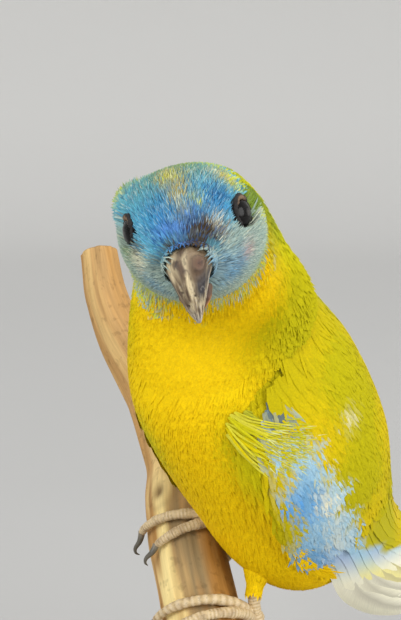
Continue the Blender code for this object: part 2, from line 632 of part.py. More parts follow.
def build():
    """Makes every node."""
    clear_scene()
    bird = collection("turquoise_parrot")
    cutters = collection("cutters")

    face_blue = finish("face_blue", (0.16, 0.45, 0.65), 0.8)
    neck_green = finish("neck_green", (0.45, 0.50, 0.08), 0.8)
    breast_yellow = finish("breast_yellow", (0.85, 0.58, 0.01), 0.8)
    wing_yellow = finish("wing_yellow", (0.62, 0.53, 0.02), 0.75)
    tail_yellow = finish("tail_yellow", (0.80, 0.72, 0.30), 0.75)
    horn = finish("horn", (0.36, 0.28, 0.20), 0.55)
    eye_black = finish("eye_black", (0.01, 0.01, 0.01), 0.15)
    scaly_skin = finish("scaly_skin", (0.58, 0.42, 0.25), 0.7)
    bare_wood = finish("bare_wood", (0.62, 0.42, 0.20), 0.75)
    stand_wood = finish("stand_wood", (0.05, 0.04, 0.035), 0.45)
    rod_steel = finish("rod_steel", (0.55, 0.55, 0.55), 0.3, 1.0)

    # Head, neck and torso
    last = len(BODY_SECTIONS) - 1
    head_at = np.append(np.linspace(0, HEAD_CUT, HEAD_RINGS)[:-1], HEAD_CUT)
    head_rings = [body_ring(at) for at in head_at[:-1]] + [body_ring(HEAD_CUT, shift=-GAP / 2)]
    head = loft("head", head_rings, face_blue, bird)
    neck_at = np.linspace(HEAD_CUT, NECK_CUT, NECK_RINGS)[1:-1]
    neck_rings = [body_ring(HEAD_CUT, shift=GAP / 2)] + [body_ring(at) for at in neck_at]
    loft("neck", neck_rings + [body_ring(NECK_CUT, shift=-GAP / 2)], neck_green, bird)
    torso_at = np.linspace(NECK_CUT, last, TORSO_RINGS)[1:-1]
    torso_rings = [body_ring(NECK_CUT, shift=GAP / 2)] + [body_ring(at) for at in torso_at]
    torso = loft("torso", torso_rings + [body_ring(last, shift=-GAP / 2)], breast_yellow, bird)

    # Thighs are fused into the belly. Wings, legs and branch lie in shallow recesses of the feathers
    thighs = [loft("thigh_" + side, tube_rings(THIGHS[side], 7, 14)[0], None, cutters) for side in THIGHS]
    combine(torso, thighs, "UNION")
    wings = {}
    for side_name, side in (("left", 1), ("right", -1)):
        wings[side_name] = wing_arm("wing_" + side_name, side, wing_yellow, bird)
        combine(wings[side_name], wing_vanes(side, cutters, random.Random(side)), "UNION", "MANIFOLD")
        combine(torso, [wing_recess("recess_" + side_name, side, cutters)], "DIFFERENCE")
        leg(side_name, 0, scaly_skin, bird)
        combine(torso, [leg(side_name, GAP, None, cutters)], "DIFFERENCE")
    combine(torso, [branch_body("bark", GAP, None, cutters)], "DIFFERENCE")
    combine(wings["right"], [branch_body("bark", GAP, None, cutters)], "DIFFERENCE", "MANIFOLD")

    # Tail
    end_row = smooth_through(body_rows(), [last])[0]
    tail_root = end_row[:3]
    tail_rings = [body_ring(last, shift=GAP / 2)]
    for distance, half_width, height, depth in TAIL_SECTIONS:
        centre = tail_root + distance * TAIL_AXES[:, 1]
        tail_rings.append(section(centre, TAIL_AXES, half_width, height, depth, RING_SEGMENTS))
    tail = loft("tail", tail_rings, tail_yellow, bird)
    combine(tail, tail_vanes(tail_root, cutters), "UNION", "MANIFOLD")

    # Bill
    for name, rows in (("beak_upper", UPPER_BILL), ("beak_lower", LOWER_BILL)):
        rings = []
        for at in np.linspace(0, len(rows) - 1, 2 * len(rows) - 1):
            forward, up, pitch, half_width, height, depth = smooth_through(rows, [at])[0]
            axes = HEAD_AXES @ turn(0, pitch, 0)
            rings.append(section(from_head((0, forward, up)), axes, half_width, height, depth, 12))
        loft(name, rings, horn, bird)

    # Eyes with their lids, and the nostrils in the cere
    added, taken = [], []
    for side_name, side in (("left", 1), ("right", -1)):
        mirror = np.array([side, 1, 1])
        centre = from_head(np.array(EYE_CENTRE) * mirror)
        out = HEAD_AXES @ (np.array(EYE_OUTWARD) * mirror)
        out /= np.linalg.norm(out)
        ball("eye_" + side_name, centre, EYE_RADIUS, eye_black, bird)
        added.append(ring_body("lid", centre + out * LID_LIFT, out, LID_RADIUS, LID_THICKNESS, cutters))
        taken.append(ball("socket", centre, EYE_RADIUS + GAP, None, cutters))
        nostril = from_head(np.array(NOSTRIL_PLACE) * mirror)
        added.append(ball("cere", nostril, CERE_RADIUS, None, cutters, 10, 8))
        opening = from_head(np.array(NOSTRIL_OPENING) * mirror)
        taken.append(ball("nostril", opening, NOSTRIL_RADIUS, None, cutters, 8, 6))
    combine(head, added, "UNION")
    combine(head, taken, "DIFFERENCE")

    # Perch and stand
    branch = branch_body("perch_branch", 0, bare_wood, bird)
    combine(branch, [ball("knot", KNOT_PLACE, KNOT_RADIUS, None, cutters, 12, 8)], "UNION")
    below = primitive_object("below", lambda work: bmesh.ops.create_cube(work, size=BRANCH_FOOT * MM), None, cutters)
    below.data.transform(placed((BRANCH_FOOT_PLACE[0], BRANCH_FOOT_PLACE[1], BRANCH_FOOT / 2)))
    combine(branch, [below], "DIFFERENCE")
    base = primitive_object(
        "stand_base",
        lambda work: bmesh.ops.create_cone(
            work, cap_ends=True, segments=48, radius1=BASE_RADIUS * MM, radius2=BASE_RADIUS * MM, depth=BASE_HEIGHT * MM
        ),
        stand_wood,
        bird,
    )
    base.location = (0, 0, BASE_HEIGHT / 2 * MM)
    rounding = base.modifiers.new("rounding", "BEVEL")
    rounding.width = BASE_ROUNDING * MM
    rounding.segments = 2
    rod_length = BRANCH_FOOT - BASE_HEIGHT - 2 * GAP
    rod = primitive_object(
        "stand_rod",
        lambda work: bmesh.ops.create_cone(
            work, cap_ends=True, segments=24, radius1=ROD_RADIUS * MM, radius2=ROD_RADIUS * MM, depth=rod_length * MM
        ),
        rod_steel,
        bird,
    )
    rod.location = tuple(np.array((*BRANCH_FOOT_PLACE, (BASE_HEIGHT + BRANCH_FOOT) / 2)) * MM)
    return bird


build()
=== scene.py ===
"""A turquoise parrot of the yellow variety, mounted as a museum specimen on a cut branch and a plain round stand.

Every length is in millimetres and becomes metres as its mesh is made. The bird looks towards -Y, with +Z up.
"""
import json
import math

import bmesh
import bpy
import numpy as np
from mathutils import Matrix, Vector

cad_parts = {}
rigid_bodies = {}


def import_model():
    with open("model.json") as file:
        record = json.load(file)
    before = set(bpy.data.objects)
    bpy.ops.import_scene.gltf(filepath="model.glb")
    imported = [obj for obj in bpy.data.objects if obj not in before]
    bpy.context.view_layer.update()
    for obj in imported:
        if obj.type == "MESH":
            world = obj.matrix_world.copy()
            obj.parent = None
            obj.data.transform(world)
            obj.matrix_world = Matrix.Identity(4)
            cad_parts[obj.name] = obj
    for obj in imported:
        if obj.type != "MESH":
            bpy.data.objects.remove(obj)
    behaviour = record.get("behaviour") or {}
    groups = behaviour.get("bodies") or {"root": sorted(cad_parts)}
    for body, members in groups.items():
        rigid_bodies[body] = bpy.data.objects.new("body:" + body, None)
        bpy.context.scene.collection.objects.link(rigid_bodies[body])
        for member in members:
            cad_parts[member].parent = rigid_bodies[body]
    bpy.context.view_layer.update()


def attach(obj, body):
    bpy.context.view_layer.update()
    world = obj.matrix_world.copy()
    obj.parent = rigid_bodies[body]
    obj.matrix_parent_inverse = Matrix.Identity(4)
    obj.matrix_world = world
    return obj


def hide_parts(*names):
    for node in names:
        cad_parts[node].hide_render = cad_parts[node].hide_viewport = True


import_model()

# Camera: it stands in front of the bird, a little above its bill, and looks slightly down. The long side of the
# picture spans the film's width, so the focal length is a share of that side.
MM = 0.001
CAMERA_PLACE = (0.0, -200.0, 158.0)
CAMERA_DOWN = 10.0
FOCAL_SHARE = 1015.0 / 620.0
FILM_WIDTH = 36.0

camera_data = bpy.data.cameras.new("camera")
camera_data.sensor_width = FILM_WIDTH
camera_data.lens = FILM_WIDTH * FOCAL_SHARE
camera_data.clip_start = 0.01
camera_data.clip_end = 20.0
camera = bpy.data.objects.new("camera", camera_data)
camera.location = Vector(CAMERA_PLACE) * MM
camera.rotation_euler = (math.radians(90.0 - CAMERA_DOWN), 0.0, 0.0)
bpy.context.scene.collection.objects.link(camera)
bpy.context.scene.camera = camera
# Film response: plain, without a curve that would pale the coat's strong yellow
bpy.context.scene.view_settings.view_transform = "Standard"


# Room: a pale grey floor that sweeps up into a round wall, as in a photographer's studio, with one large soft light
# from the upper left, a weaker one from the right and a pale sky. None of it is part of the object.
FLOOR_RADIUS = 1100.0
SWEEP_RADIUS = 500.0
WALL_HEIGHT = 620.0
# Greys of the floor's middle and of the wall: painted shade and light that make the floor darker near the middle and
# paler out to the wall
FLOOR_GREY, WALL_GREY = 0.47, 0.76
SKY_STRENGTH = 0.69


def new_mesh(name, points, faces):
    """A mesh in metres from points in millimetres and an array of faces with the same number of corners each."""
    points = np.asarray(points, float).reshape(-1, 3) * MM
    faces = np.asarray(faces, np.int32)
    mesh = bpy.data.meshes.new(name)
    mesh.vertices.add(len(points))
    mesh.vertices.foreach_set("co", points.ravel())
    count, corners = faces.shape
    mesh.loops.add(count * corners)
    mesh.loops.foreach_set("vertex_index", faces.ravel())
    mesh.polygons.add(count)
    mesh.polygons.foreach_set("loop_start", np.arange(count, dtype=np.int32) * corners)
    mesh.update(calc_edges=True)
    mesh.polygons.foreach_set("use_smooth", np.ones(count, bool))
    return mesh


def grid_faces(rows, columns, ring_rows=False):
    """Quads of a grid of rows by columns points, whose columns, and rows if asked, close into a ring."""
    i = np.arange(rows if ring_rows else rows - 1)[:, None]
    j = np.arange(columns)[None, :]
    k = (j + 1) % columns
    m = (i + 1) % rows
    quads = np.stack([i * columns + j, i * columns + k, m * columns + k, m * columns + j], -1)
    return quads.reshape(-1, 4)


def add_piece(name, mesh, material):
    """Links a mesh as an object at the origin."""
    made = bpy.data.objects.new(name, mesh)
    if material:
        mesh.materials.append(material)
    bpy.context.scene.collection.objects.link(made)
    return made


def new_material(name, roughness, **sockets):
    """A material with its Principled shader, whose constants are set on its own sockets."""
    material = bpy.data.materials.new(name)
    material.use_nodes = True
    shader = material.node_tree.nodes["Principled BSDF"]
    shader.inputs["Roughness"].default_value = roughness
    for socket, value in sockets.items():
        shader.inputs[socket.replace("_", " ")].default_value = value
    return material, material.node_tree, shader


def join(tree, start, end):
    """Links one socket to another."""
    tree.links.new(start, end)


def add_node(tree, kind, inputs=None, **properties):
    """A shader node with its own properties set, and each input given a value or linked to another node's socket."""
    node = tree.nodes.new("ShaderNode" + kind)
    for name, value in properties.items():
        setattr(node, name, value)
    for socket, value in (inputs or {}).items():
        if isinstance(value, bpy.types.NodeSocket):
            join(tree, value, node.inputs[socket])
        else:
            node.inputs[socket].default_value = value
    return node


sweep = np.linspace(0, math.pi / 2, 16)
floor_line = [(r, 0.0) for r in np.linspace(0.001, 1, 12) * FLOOR_RADIUS]
floor_line += [(FLOOR_RADIUS + SWEEP_RADIUS * math.sin(a), SWEEP_RADIUS * (1 - math.cos(a))) for a in sweep[1:]]
floor_line += [(FLOOR_RADIUS + SWEEP_RADIUS, WALL_HEIGHT)]
around = np.linspace(0, 2 * math.pi, 96, endpoint=False)
floor_points = [[(r * math.cos(a), r * math.sin(a), z) for a in around] for r, z in floor_line]
floor_material, floor_tree, floor_shader = new_material("studio_grey", 0.9)
floor_place = add_node(floor_tree, "TexCoord").outputs["Object"]
floor_noise = add_node(floor_tree, "TexNoise", {"Vector": floor_place, "Scale": 3.0}).outputs["Fac"]
floor_reach = add_node(floor_tree, "VectorMath", {0: floor_place}, operation="LENGTH").outputs["Value"]
floor_mix = add_node(
    floor_tree, "Mix", {"Factor": floor_noise, "A": (0.99, 0.985, 0.965, 1), "B": (1.01, 1.005, 0.99, 1)},
    data_type="RGBA",
)
# Painted shade and light: the grey runs from dark near the middle of the floor to pale on the wall
floor_light_and_shade = add_node(floor_tree, "MapRange", {
    "Value": floor_reach, "From Min": 0.25, "From Max": 1.5, "To Min": FLOOR_GREY, "To Max": WALL_GREY,
})
floor_shade = add_node(
    floor_tree, "VectorMath", {0: floor_mix.outputs["Result"], "Scale": floor_light_and_shade.outputs["Result"]},
    operation="SCALE",
)
join(floor_tree, floor_shade.outputs["Vector"], floor_shader.inputs["Base Color"])
floor_mesh = new_mesh("studio_floor", floor_points, grid_faces(len(floor_line), len(around)))
floor = add_piece("studio_floor", floor_mesh, floor_material)

world = bpy.data.worlds.new("studio")
bpy.context.scene.world = world
world.use_nodes = True
background = world.node_tree.nodes["Background"]
background.inputs["Color"].default_value = (1.0, 1.0, 0.99, 1)
background.inputs["Strength"].default_value = SKY_STRENGTH

# Soft boxes: place, size, and power in watts
SOFT_BOXES = {
    "soft_box_left": ((-520.0, -560.0, 620.0), 520.0, 3.9),
    "soft_box_right": ((620.0, -420.0, 420.0), 600.0, 4.2),
    "soft_box_above": ((60.0, 120.0, 900.0), 500.0, 1.4),
}
for name, (place, size, power) in SOFT_BOXES.items():
    light = bpy.data.lights.new(name, "AREA")
    light.shape = "DISK"
    light.size = size * MM
    light.energy = power
    lamp = bpy.data.objects.new(name, light)
    lamp.location = Vector(place) * MM
    aim = Vector((0.0, 0.0, 0.11)) - lamp.location
    lamp.rotation_mode = "QUATERNION"
    lamp.rotation_quaternion = aim.to_track_quat("-Z", "Y")
    bpy.context.scene.collection.objects.link(lamp)


# Skin: the mounted bird's skin from the bill to the root of the tail with the thighs, one surface over its filling.
# It is hidden under the coat, and its colours follow the coat's markings so that no gap shows.
HEAD_TURN = (-4.0, 12.0, -10.5)
BODY_TURN = (-41.0, -56.0, -6.0)
TAIL_TURN = (-41.0, -30.0, -9.0)
HEAD_CENTRE = np.array((-1.7, -29.5, 143.6))
NECK_CENTRE = np.array((3.9, -15.9, 130.7))
# Centre in the frame named, share of the turn from head to torso, half width, height and depth
BODY_SECTIONS = (
    ("head", (0.0, -11.8, -4.6), 0.00, 3.8, 2.8, 3.6),
    ("head", (0.0, -10.8, -3.6), 0.00, 7.2, 6.2, 6.4),
    ("head", (0.0, -8.0, -2.2), 0.00, 10.2, 9.2, 9.6),
    ("head", (0.0, -4.0, -1.4), 0.02, 12.1, 11.0, 12.0),
    ("head", (0.0, 1.0, -1.6), 0.08, 12.9, 11.2, 13.2),
    ("head", (0.2, 6.0, -3.6), 0.26, 13.2, 10.8, 13.6),
    ("body", (-1.6, -4.5, 1.2), 0.52, 14.8, 11.8, 15.2),
    ("body", (-3.3, 3.5, -1.0), 0.76, 17.3, 14.2, 18.4),
    ("body", (-4.6, 13.0, -2.0), 0.92, 19.0, 17.0, 21.6),
    ("body", (-4.2, 26.0, -2.0), 1.00, 20.2, 17.8, 23.0),
    ("body", (-2.9, 42.0, -2.0), 1.00, 20.1, 16.6, 23.0),
    ("body", (-1.8, 57.0, -1.5), 1.00, 17.4, 13.2, 23.0),
    ("body", (-0.8, 69.0, 0.0), 1.00, 12.4, 9.4, 19.0),
    ("body", (0.0, 78.0, 3.0), 1.00, 7.4, 6.0, 9.0),
)
# Root of the tail: distance from the torso's end along the tail, half width, height and depth
TAIL_ROOT = ((6.0, 6.8, 4.6, 6.4), (14.0, 6.4, 3.0, 4.4), (24.0, 5.6, 1.6, 3.2), (31.0, 3.6, 0.8, 2.0))
# Thighs: world place and radius from the hip to the knee, and how far the skin lies under the feathers there
THIGHS = {
    "right": np.array(((9.0, 1.0, 88.0, 6.0), (6.6, 1.6, 83.0, 4.4), (5.6, 2.2, 80.0, 2.6))),
    "left": np.array(((14.0, 0.0, 78.0, 6.5), (12.0, -4.4, 71.0, 4.4), (10.9, -7.0, 66.2, 2.4))),
}
THIGH_INSET = 1.3
# Depth of the coat over the skin, how dark the skin under it is, and the waves summed in a ripple
COAT_DEPTH = 1.5
UNDER_SHADE = 0.8
RIPPLE_WAVES = 14


def turn(angles):
    """Rotation matrices of frames whose own -Y looks forward: roll about Y, then pitch about X, then yaw about Z."""
    yaw, pitch, roll = np.radians(np.moveaxis(np.asarray(angles, float), -1, 0))
    zero, one = np.zeros_like(yaw), np.ones_like(yaw)

    def matrix(*cells):
        return np.stack(cells, -1).reshape(*yaw.shape, 3, 3)

    about_z = matrix(np.cos(yaw), -np.sin(yaw), zero, np.sin(yaw), np.cos(yaw), zero, zero, zero, one)
    about_x = matrix(one, zero, zero, zero, np.cos(pitch), -np.sin(pitch), zero, np.sin(pitch), np.cos(pitch))
    about_y = matrix(np.cos(roll), zero, np.sin(roll), zero, one, zero, -np.sin(roll), zero, np.cos(roll))
    return about_z @ about_x @ about_y


HEAD_AXES, BODY_AXES, TAIL_AXES = turn(HEAD_TURN), turn(BODY_TURN), turn(TAIL_TURN)


def through(rows, at):
    """Catmull-Rom curve through the rows, read at the parameters at, where 1 is one row."""
    rows = np.asarray(rows, float)
    padded = np.vstack([2 * rows[0] - rows[1], rows, 2 * rows[-1] - rows[-2]])
    at = np.clip(np.asarray(at, float), 0, len(rows) - 1)
    low = np.minimum(at.astype(int), len(rows) - 2)
    t = (at - low)[..., None]
    a, b, c, d = (padded[low + k] for k in range(4))
    return 0.5 * (2 * b + (c - a) * t + (2 * a - 5 * b + 4 * c - d) * t**2 + (3 * b - a - 3 * c + d) * t**3)


def from_head(points):
    """World places of points in the head's frame: +X the bird's left, -Y forward."""
    return HEAD_CENTRE + np.asarray(points, float) @ HEAD_AXES.T


def from_body(points):
    """World places of points in the torso's frame: +X the bird's left, +Y towards the tail, +Z the back."""
    return NECK_CENTRE + np.asarray(points, float) @ BODY_AXES.T


def shape_rows():
    """World centre, yaw, pitch, roll, half width, height and depth of each section, down to the tail's root."""
    rows = []
    for where, centre, share, *sizes in BODY_SECTIONS:
        place = from_head(centre) if where == "head" else from_body(centre)
        angles = np.array(HEAD_TURN) + share * (np.array(BODY_TURN) - np.array(HEAD_TURN))
        rows.append((*place, *angles, *sizes))
    end = np.array(rows[-1][:3])
    for distance, *sizes in TAIL_ROOT:
        rows.append((*(end + distance * TAIL_AXES[:, 1]), *TAIL_TURN, *sizes))
    return np.array(rows)


SHAPE_ROWS = shape_rows()
TORSO_END = len(BODY_SECTIONS) - 1
BODY_END = len(SHAPE_ROWS) - 1


def body_at(s, theta, lift=0.0):
    """World place on the body: section s along it, theta degrees round from the back to the bird's left, and lift.

    It is centre + axes @ ((half width + lift) sin theta, 0, (height or depth + lift) cos theta).
    """
    s, theta, lift = np.broadcast_arrays(np.asarray(s, float), np.radians(theta), lift)
    row = through(SHAPE_ROWS, s)
    upright = np.where(np.cos(theta) > 0, row[..., 7], row[..., 8]) + lift
    local = np.stack([(row[..., 6] + lift) * np.sin(theta), np.zeros_like(theta), upright * np.cos(theta)], -1)
    return row[..., :3] + (turn(row[..., 3:6]) @ local[..., None])[..., 0]


def unit(vectors):
    """The vectors with the length 1."""
    return vectors / np.linalg.norm(vectors, axis=-1, keepdims=True)


def tube(path, radii, sides):
    """Rings of a tube along a path: centre + radius (cos a side + sin a other), with the side carried without twist."""
    along = unit(np.gradient(path, axis=0))
    side = np.cross(along[0], (0.0, 1.0, 0.0))
    if np.linalg.norm(side) < 0.2:
        side = np.cross(along[0], (1.0, 0.0, 0.0))
    sides_at = []
    for forward in along:
        side = unit(side - forward * (side @ forward))
        sides_at.append(side)
    sides_at = np.array(sides_at)
    other = np.cross(along, sides_at)
    angle = np.linspace(0, 2 * math.pi, sides, endpoint=False)[None, :, None]
    return path[:, None] + radii[:, None, None] * (np.cos(angle) * sides_at[:, None] + np.sin(angle) * other[:, None])


def face_outwards(mesh, cut=None):
    """Turns the faces of a closed mesh outwards, after a cut, if one is given, on its open form."""
    work = bmesh.new()
    work.from_mesh(mesh)
    if cut:
        cut(work)
    bmesh.ops.recalc_face_normals(work, faces=work.faces)
    if work.calc_volume(signed=True) < 0:
        bmesh.ops.reverse_faces(work, faces=work.faces)
    work.to_mesh(mesh)
    work.free()


def closed_loft(name, rings):
    """A closed mesh through rings of points, each end closed with a fan to its middle, faces outwards."""
    rings = np.asarray(rings, float)
    rows, columns = rings.shape[:2]
    points = np.vstack([rings.reshape(-1, 3), rings[0].mean(0), rings[-1].mean(0)])
    j = np.arange(columns)
    k = (j + 1) % columns
    end = (rows - 1) * columns
    start_fan = np.stack([np.full(columns, rows * columns), k, j], 1)
    end_fan = np.stack([np.full(columns, rows * columns + 1), end + j, end + k], 1)
    mesh = bpy.data.meshes.new(name)
    faces = grid_faces(rows, columns).tolist() + start_fan.tolist() + end_fan.tolist()
    mesh.from_pydata((points * MM).tolist(), [], faces)
    face_outwards(mesh)
    mesh.polygons.foreach_set("use_smooth", np.ones(len(mesh.polygons), bool))
    return mesh


def points_of(mesh):
    """A mesh's points in millimetres."""
    points = np.empty(len(mesh.vertices) * 3)
    mesh.vertices.foreach_get("co", points)
    return points.reshape(-1, 3) / MM


def srgb(*colour):
    """Linear colour of an sRGB colour in 0 to 255."""
    value = np.array(colour, float) / 255.0
    return np.where(value <= 0.04045, value / 12.92, ((value + 0.055) / 1.055) ** 2.4)


def ripple(points, size, seed):
    """Smooth noise between about -1 and 1: a sum of sine waves in seeded directions, size millimetres long."""
    draw = np.random.default_rng(seed)
    ways = unit(draw.normal(size=(RIPPLE_WAVES, points.shape[-1])))
    ways *= 2 * math.pi / (size * draw.uniform(0.7, 1.5, (RIPPLE_WAVES, 1)))
    phases = draw.uniform(0, 2 * math.pi, RIPPLE_WAVES)
    return np.sin(points @ ways.T + phases).sum(-1) / math.sqrt(RIPPLE_WAVES)


def soft_step(low, high, value):
    """0 below low, 1 above high, smooth between."""
    t = np.clip((value - low) / (high - low), 0, 1)
    return t * t * (3 - 2 * t)


def away_from(u, v, middle, reach):
    """Distance from a place on a surface, 1 at its reach in either direction."""
    return np.sqrt(((u - middle[0]) / reach[0]) ** 2 + ((v - middle[1]) / reach[1]) ** 2)


def near(u, v, middle, reach):
    """1 at a place on a surface and falling to 0 round it: exp(-distance^2)."""
    return np.exp(-(away_from(u, v, middle, reach) ** 2))


def half_turn(angle):
    """Angles in degrees brought between -180 and 180."""
    return (angle + 180) % 360 - 180


def blend_colours(base, colour, share):
    """base mixed with colour by share. Each may be one value or have one for each point."""
    return base + (np.asarray(colour) - base) * np.asarray(share)[..., None]


def add_marks(base, u, v, marks, fall):
    """base with soft marks laid over it: colour, middle in u and v, reach in both and strength of each."""
    for colour, middle_u, middle_v, reach_u, reach_v, strength in marks:
        away = away_from(u, v, (middle_u, middle_v), (reach_u, reach_v))
        base = blend_colours(base, colour, np.minimum(strength * np.exp(-fall * away**2), 1.0))
    return base


# Colours of the coat by daylight
YELLOW = srgb(236, 197, 0)
DEEP_YELLOW = srgb(246, 200, 0)
WING_YELLOW = srgb(180, 170, 0)
LEAF_YELLOW = srgb(190, 192, 10)
GREEN = srgb(104, 130, 44)
TURQUOISE = srgb(94, 174, 200)
BLUE = srgb(50, 132, 188)
DEEP_BLUE = srgb(32, 78, 134)
VIOLET_BLUE = srgb(84, 128, 204)
PALE_BLUE = srgb(172, 206, 222)
CROWN_TEAL = srgb(108, 138, 92)
CHEEK_BLUE = srgb(158, 178, 166)
SLATE = srgb(76, 96, 104)
TAN = srgb(178, 166, 104)
WORN_BROWN = srgb(72, 60, 46)
PEACH = srgb(220, 184, 160)
CREAM = srgb(226, 220, 190)
CHEEK_GREEN = srgb(176, 192, 104)
# Where the blue of the face ends: angle round the neck, and the section there
FACE_EDGE = (
    (-180, 5.40), (-150, 5.42), (-125, 5.75), (-95, 6.30), (-70, 5.60), (-40, 4.90), (0, 4.60), (30, 4.30),
    (60, 3.60), (76, 3.10), (95, 4.40), (106, 5.40), (124, 5.35), (160, 5.15), (180, 5.40),
)
# Marks on the face: colour, section and angle of the middle, reach in sections and in degrees, strength
FACE_MARKS = (
    (TURQUOISE, 2.4, -38, 1.0, 26, 1.0), (BLUE, 1.5, -22, 0.7, 26, 0.95), (TURQUOISE, 2.6, 24, 0.5, 22, 0.8),
    (BLUE, 1.9, 33, 0.75, 20, 1.0), (VIOLET_BLUE, 0.95, -22, 0.35, 24, 0.8), (VIOLET_BLUE, 1.25, 14, 0.35, 12, 0.8),
    (DEEP_BLUE, 2.1, 36, 0.30, 9, 0.7), (DEEP_BLUE, 1.2, 0, 0.30, 8, 0.6), (CROWN_TEAL, 3.5, -4, 1.35, 42, 1.0),
    (TAN, 2.1, 0, 0.8, 8, 1.1), (TAN, 2.8, -12, 0.5, 6, 1.1), (LEAF_YELLOW, 1.75, 18, 0.2, 5, 0.9),
    (LEAF_YELLOW, 2.7, -6, 0.25, 5, 0.9), (LEAF_YELLOW, 3.1, 43, 0.4, 8, 1.3), (TAN, 3.0, 34, 0.35, 8, 1.0),
    (WORN_BROWN, 0.45, 18, 0.50, 20, 1.8), (WORN_BROWN, 0.85, 32, 0.42, 17, 1.6),
    (WORN_BROWN, 1.05, 50, 0.38, 13, 1.6), (CREAM, 1.30, 42, 0.22, 9, 0.8), (TURQUOISE, 0.35, 2, 0.20, 8, 0.6),
    (CREAM, 1.0, 62, 0.30, 8, 0.6), (WORN_BROWN, 0.30, -34, 0.3, 26, 1.0), (VIOLET_BLUE, 0.75, -6, 0.25, 12, 0.7),
    (WORN_BROWN, 1.5, -74, 0.3, 9, 0.9), (CREAM, 1.4, -90, 0.35, 12, 0.8), (PEACH, 1.75, 103, 0.35, 9, 0.9),
    (CHEEK_GREEN, 3.6, -128, 1.4, 22, 0.7), (CHEEK_GREEN, 4.2, 125, 0.8, 18, 0.6), (BLUE, 1.1, 118, 0.8, 30, 0.6),
    (BLUE, 1.2, -125, 0.5, 22, 0.45), (SLATE, 0.5, -80, 0.30, 16, 0.7), (BLUE, 0.5, 92, 0.30, 16, 0.5),
    (LEAF_YELLOW, 4.1, -54, 0.5, 8, 1.0), (GREEN, 2.1, -84, 0.5, 10, 0.7),
)


def face_colour(s, theta, salt):
    """Colour of the face and head at section s and angle theta. salt shifts each feather's own place by a little.

    Single feathers are paler or deeper than their neighbours: blue ones on the forehead, grey and leaf yellow ones on
    the cheeks.
    """
    crown = soft_step(78, 56, np.abs(theta + 4))
    base = blend_colours(CHEEK_BLUE, TURQUOISE, crown)
    place_s, place_theta = s + 0.25 * (salt[..., 0] - 0.5), theta + 7.0 * (salt[..., 1] - 0.5)
    base = add_marks(base, place_s, place_theta, FACE_MARKS, 1.1)
    worn = soft_step(1.6, 0.4, s)
    by_bill = 0.7 * soft_step(0.7, 0.1, s) * soft_step(110, 60, np.abs(theta))
    base = blend_colours(base, np.where(salt[..., 3:4] < 0.5, SLATE, WORN_BROWN), by_bill)
    pale = soft_step(0.72, 0.95, salt[..., 0]) * (0.40 - 0.3 * worn)
    deep = soft_step(0.66, 0.92, salt[..., 1]) * (0.40 + 0.35 * worn)
    base = blend_colours(base, blend_colours(CREAM, PALE_BLUE, crown * soft_step(3.0, 2.2, s)), pale)
    return blend_colours(base, blend_colours(SLATE, DEEP_BLUE, crown), deep)


def head_colour(s, theta, salt):
    """Face colour inside its edge, then green and leaf yellow, then the yellow of the body."""
    theta = half_turn(theta)
    angles, edges = np.array(FACE_EDGE, float).T
    beyond = s - np.interp(theta, angles, edges) - 0.45 * (salt[..., 2] - 0.5)
    behind = blend_colours(YELLOW, LEAF_YELLOW, 0.9 * soft_step(120, 70, np.abs(theta)))
    left_side = soft_step(50, 62, theta) * soft_step(126, 108, theta) * soft_step(6.4, 4.8, s)
    crown_back = soft_step(60, 30, np.abs(theta)) * soft_step(5.5, 4.2, s)
    behind = blend_colours(behind, GREEN, np.clip(left_side * 0.95 + crown_back * 0.75, 0, 1))
    streak = soft_step(-1.3, -0.2, beyond) * soft_step(0.40, 0.62, salt[..., 3])
    colour = blend_colours(face_colour(s, theta, salt), LEAF_YELLOW * 1.2, streak * 0.85)
    return blend_colours(colour, behind, soft_step(-0.05, 0.12, beyond))


# Pale flecks on the breast: place and reach
BODY_FLECKS = (((3.0, -22.7, 122.6), 1.0), ((0.2, -22.6, 121.4), 0.8))


def body_colour(places, salt):
    """Yellow of the body at world places: deeper low on the belly, greener on the side by the wings and the back."""
    local = (places - NECK_CENTRE) @ BODY_AXES
    x, y, z = np.moveaxis(local, -1, 0)
    angle = np.degrees(np.arctan2(np.abs(x + 3.0), z + 2.0))
    colour = blend_colours(YELLOW, WING_YELLOW, soft_step(150, 95, angle))
    colour = blend_colours(colour, LEAF_YELLOW, 0.35 * soft_step(60, 20, angle))
    mottle = ripple(places, 16.0, 5)
    colour = blend_colours(colour, DEEP_YELLOW, np.clip(0.22 + 0.30 * mottle, 0, 1) * soft_step(120, 165, angle))
    colour = blend_colours(colour, LEAF_YELLOW, 0.75 * near(y, angle, (22, 150), (8, 13)))
    for place, reach in BODY_FLECKS:
        away = ((places - np.array(place)) ** 2).sum(-1) / reach**2
        colour = blend_colours(colour, CREAM, 0.75 * np.exp(-away) * soft_step(0.1, 0.6, salt[..., 1]))
    return colour * (1 + 0.05 * (salt[..., 0:1] - 0.5))


def coat_colour(s, theta, places, salt):
    """Colour of the coat on head, neck and torso."""
    head = head_colour(s, theta, salt)
    return blend_colours(head, body_colour(places, salt), soft_step(5.9, 6.9, s + 0.4 * (salt[..., 0] - 0.5)))


def paint(mesh, colours):
    """Stores one linear colour for each point."""
    layer = mesh.color_attributes.new("tint", "FLOAT_COLOR", "POINT")
    data = np.ones((len(mesh.vertices), 4), np.float32)
    data[:, :3] = np.clip(colours, 0.0, 1.0)
    layer.data.foreach_set("color", data.ravel())


def open_effects(name, inputs):
    """A node group with those numbers as inputs, and colour, roughness and height as outputs, and its input sockets."""
    group = bpy.data.node_groups.new(name, "ShaderNodeTree")
    for socket in inputs:
        group.interface.new_socket(socket, in_out="INPUT", socket_type="NodeSocketFloat")
    for socket, kind in (("Color", "NodeSocketColor"), ("Roughness", "NodeSocketFloat"), ("Height", "NodeSocketFloat")):
        group.interface.new_socket(socket, in_out="OUTPUT", socket_type=kind)
    return group, group.nodes.new("NodeGroupInput").outputs


